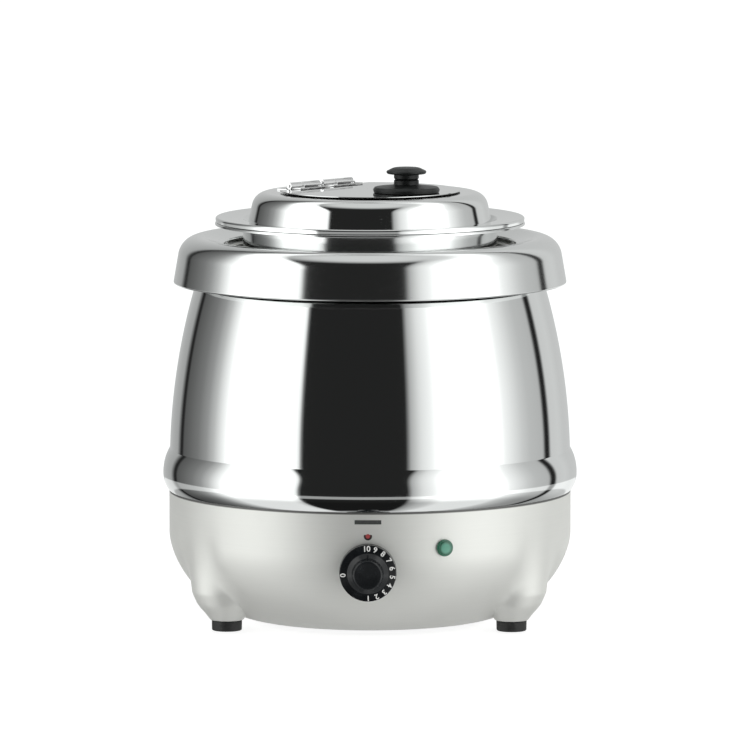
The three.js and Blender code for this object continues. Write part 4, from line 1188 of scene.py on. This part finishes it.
smooth(gland)
settle(gland, (math.pi / 2, 0, math.pi), (0, BASE_RADIUS, GLAND_HEIGHT))
gland_look = black_plastic("black_nylon", (0.02, 0.02, 0.021), 0.45)
finish(gland, gland_look, "casing", "black_plastic", "cable_gland")

# ---- Inside the casing ---------------------------------------------------------------------------
# Heater, thermostat, wiring points and nuts are hidden behind the casing and keep their CAD shapes.
# They take the finish of their slot.


def bare_metal(name, tint, roughness):
    """Rolled or drawn metal as it comes, faintly streaked."""
    new, shader, place = material(name, tint, roughness, 1.0)
    streaks = place.noise(90, 4, 0.6)
    dark = tuple(0.82 * value for value in tint) + (1,)
    feed(shader, "Base Color", streaks.between(0.3, 0.75).mix((*tint, 1), dark))
    feed(shader, "Roughness", roughness - 0.06 + streaks * 0.14)
    return new


pale_ceramic, shader, place = material("pale_ceramic", (0.78, 0.75, 0.68), 0.6)
grit = place.noise(700, 3)
feed(shader, "Base Color", grit.between(0.4, 0.7).mix((0.78, 0.75, 0.68, 1), (0.7, 0.66, 0.58, 1)))
feed(shader, "Roughness", 0.5 + grit * 0.2)
finishes = {
    "zinc_steel": zinc_look,
    "aluminium": bare_metal("mill_aluminium", (0.72, 0.73, 0.75), 0.45),
    "copper": bare_metal("drawn_copper", (0.78, 0.42, 0.27), 0.3),
    "black_plastic": gland_look,
    "ceramic": pale_ceramic,
}
for subpart in frame["record"]["subparts"]:
    node = frame["nodes"][subpart["node"]]
    if not node.hide_render:
        node.data.materials.clear()
        node.data.materials.append(finishes[subpart["material_slot"]])

# ---- Studio --------------------------------------------------------------------------------------
# A white sweep, white panels to both sides and a dark gap between them behind the camera, which
# the polished steel mirrors. The camera stands far off and looks down a little.

FLOOR_RADIUS = 1.1
FLOOR_HEIGHT = -0.0002
FLOOR_GLOW = 0.86
bpy.ops.object.select_all(action="DESELECT")
bpy.ops.mesh.primitive_circle_add(
    vertices=96, radius=FLOOR_RADIUS, fill_type="NGON", location=(0, 0, FLOOR_HEIGHT)
)
floor = bpy.context.object
floor.name = "floor"
floor_paint, shader, place = material("white_floor", (0.25, 0.25, 0.25), 0.7)
shader.inputs["Emission Color"].default_value = (1, 1, 1, 1)
shader.inputs["Emission Strength"].default_value = FLOOR_GLOW
floor.data.materials.append(floor_paint)
floor.visible_glossy = False

DARK = 0.02
PANEL = 1.7
CEILING = 0.75
TABLE = 0.62
TABLE_EDGE = 0.38
BACKDROP = 1.1
PANELS_BY_AZIMUTH = [
    (-180, 0.60), (-146, 0.42), (-140, DARK), (-137, DARK), (-135, 0.11), (-127, 0.15), (-117, 0.22),
    (-108, 0.36), (-101, 0.62), (-93, 1.15), (-86, PANEL), (-46, PANEL), (-41, 1.2), (-39, DARK),
    (21.5, DARK), (24, 0.50), (30, 0.92), (36, 1.15), (44, PANEL), (78, PANEL), (85, 1.15), (92, 0.93),
    (99, 0.73), (106, 0.61), (119, 0.55), (121.5, DARK), (126, DARK), (128.5, 0.7), (140, 0.72),
    (151, 0.64), (180, 0.60),
]
world = bpy.data.worlds.new("studio")
world.use_nodes = True
bpy.context.scene.world = world
tree = world.node_tree
background = tree.nodes["Background"]
way = Sum(tree).node("ShaderNodeTexCoord", {}, {}, 0)
east, north, up = (way.split(axis) for axis in range(3))
ahead = up.math("MAXIMUM", up, 0.0) ** 4 - north
azimuth = way.math("ARCTAN2", east, ahead) / (2 * math.pi) + 0.5
stops = [(degrees / 360 + 0.5, value / PANEL) for degrees, value in PANELS_BY_AZIMUTH]
panels = azimuth.node("ShaderNodeValToRGB", {"stops": stops}, {0: azimuth}) * PANEL
ceiling = up.between(0.80, 0.97)
table = (0 - up).between(0.93, 0.985)
table_edge = (0 - up).between(0.13, 0.15) * (1 - (0 - up).between(0.28, 0.32)) * TABLE_EDGE
low_panels = 1 - (0 - up).between(0.3, 0.6) * 0.45
light = (panels * low_panels + table_edge) * (1 - ceiling - table) + ceiling * CEILING + table * TABLE
to_camera = way.node("ShaderNodeLightPath", {}, {}, 0)
seen = light * (1 - to_camera) + to_camera * BACKDROP
tree.links.new(seen.socket, background.inputs["Strength"])
background.inputs["Color"].default_value = (0.985, 1.0, 0.995, 1)

OVERHEAD_HEIGHT = 2.2
OVERHEAD_SIZE = 1.6
OVERHEAD_POWER = 12
bpy.ops.object.light_add(type="AREA", location=(0, 0, OVERHEAD_HEIGHT))
overhead = bpy.context.object
overhead.data.shape = "DISK"
overhead.data.size = OVERHEAD_SIZE
overhead.data.energy = OVERHEAD_POWER
overhead.visible_glossy = False

CAMERA_DISTANCE = 6.4
CAMERA_ELEVATION = math.radians(6.24)
CAMERA_AZIMUTH = math.radians(0.55)
CAMERA_LENS = 374
CAMERA_SENSOR = 36
AIM = Vector((0.0041, 0, 0.202))
back = Vector((math.sin(CAMERA_AZIMUTH), -math.cos(CAMERA_AZIMUTH), 0)) * math.cos(CAMERA_ELEVATION)
back.z = math.sin(CAMERA_ELEVATION)
bpy.ops.object.camera_add(location=AIM + back * CAMERA_DISTANCE)
camera = bpy.context.object
camera.rotation_euler = (math.pi / 2 - CAMERA_ELEVATION, 0, CAMERA_AZIMUTH)
camera.data.lens = CAMERA_LENS
camera.data.sensor_width = CAMERA_SENSOR
camera.data.clip_end = 50
bpy.context.scene.camera = camera
bpy.context.scene.view_settings.view_transform = "Standard"
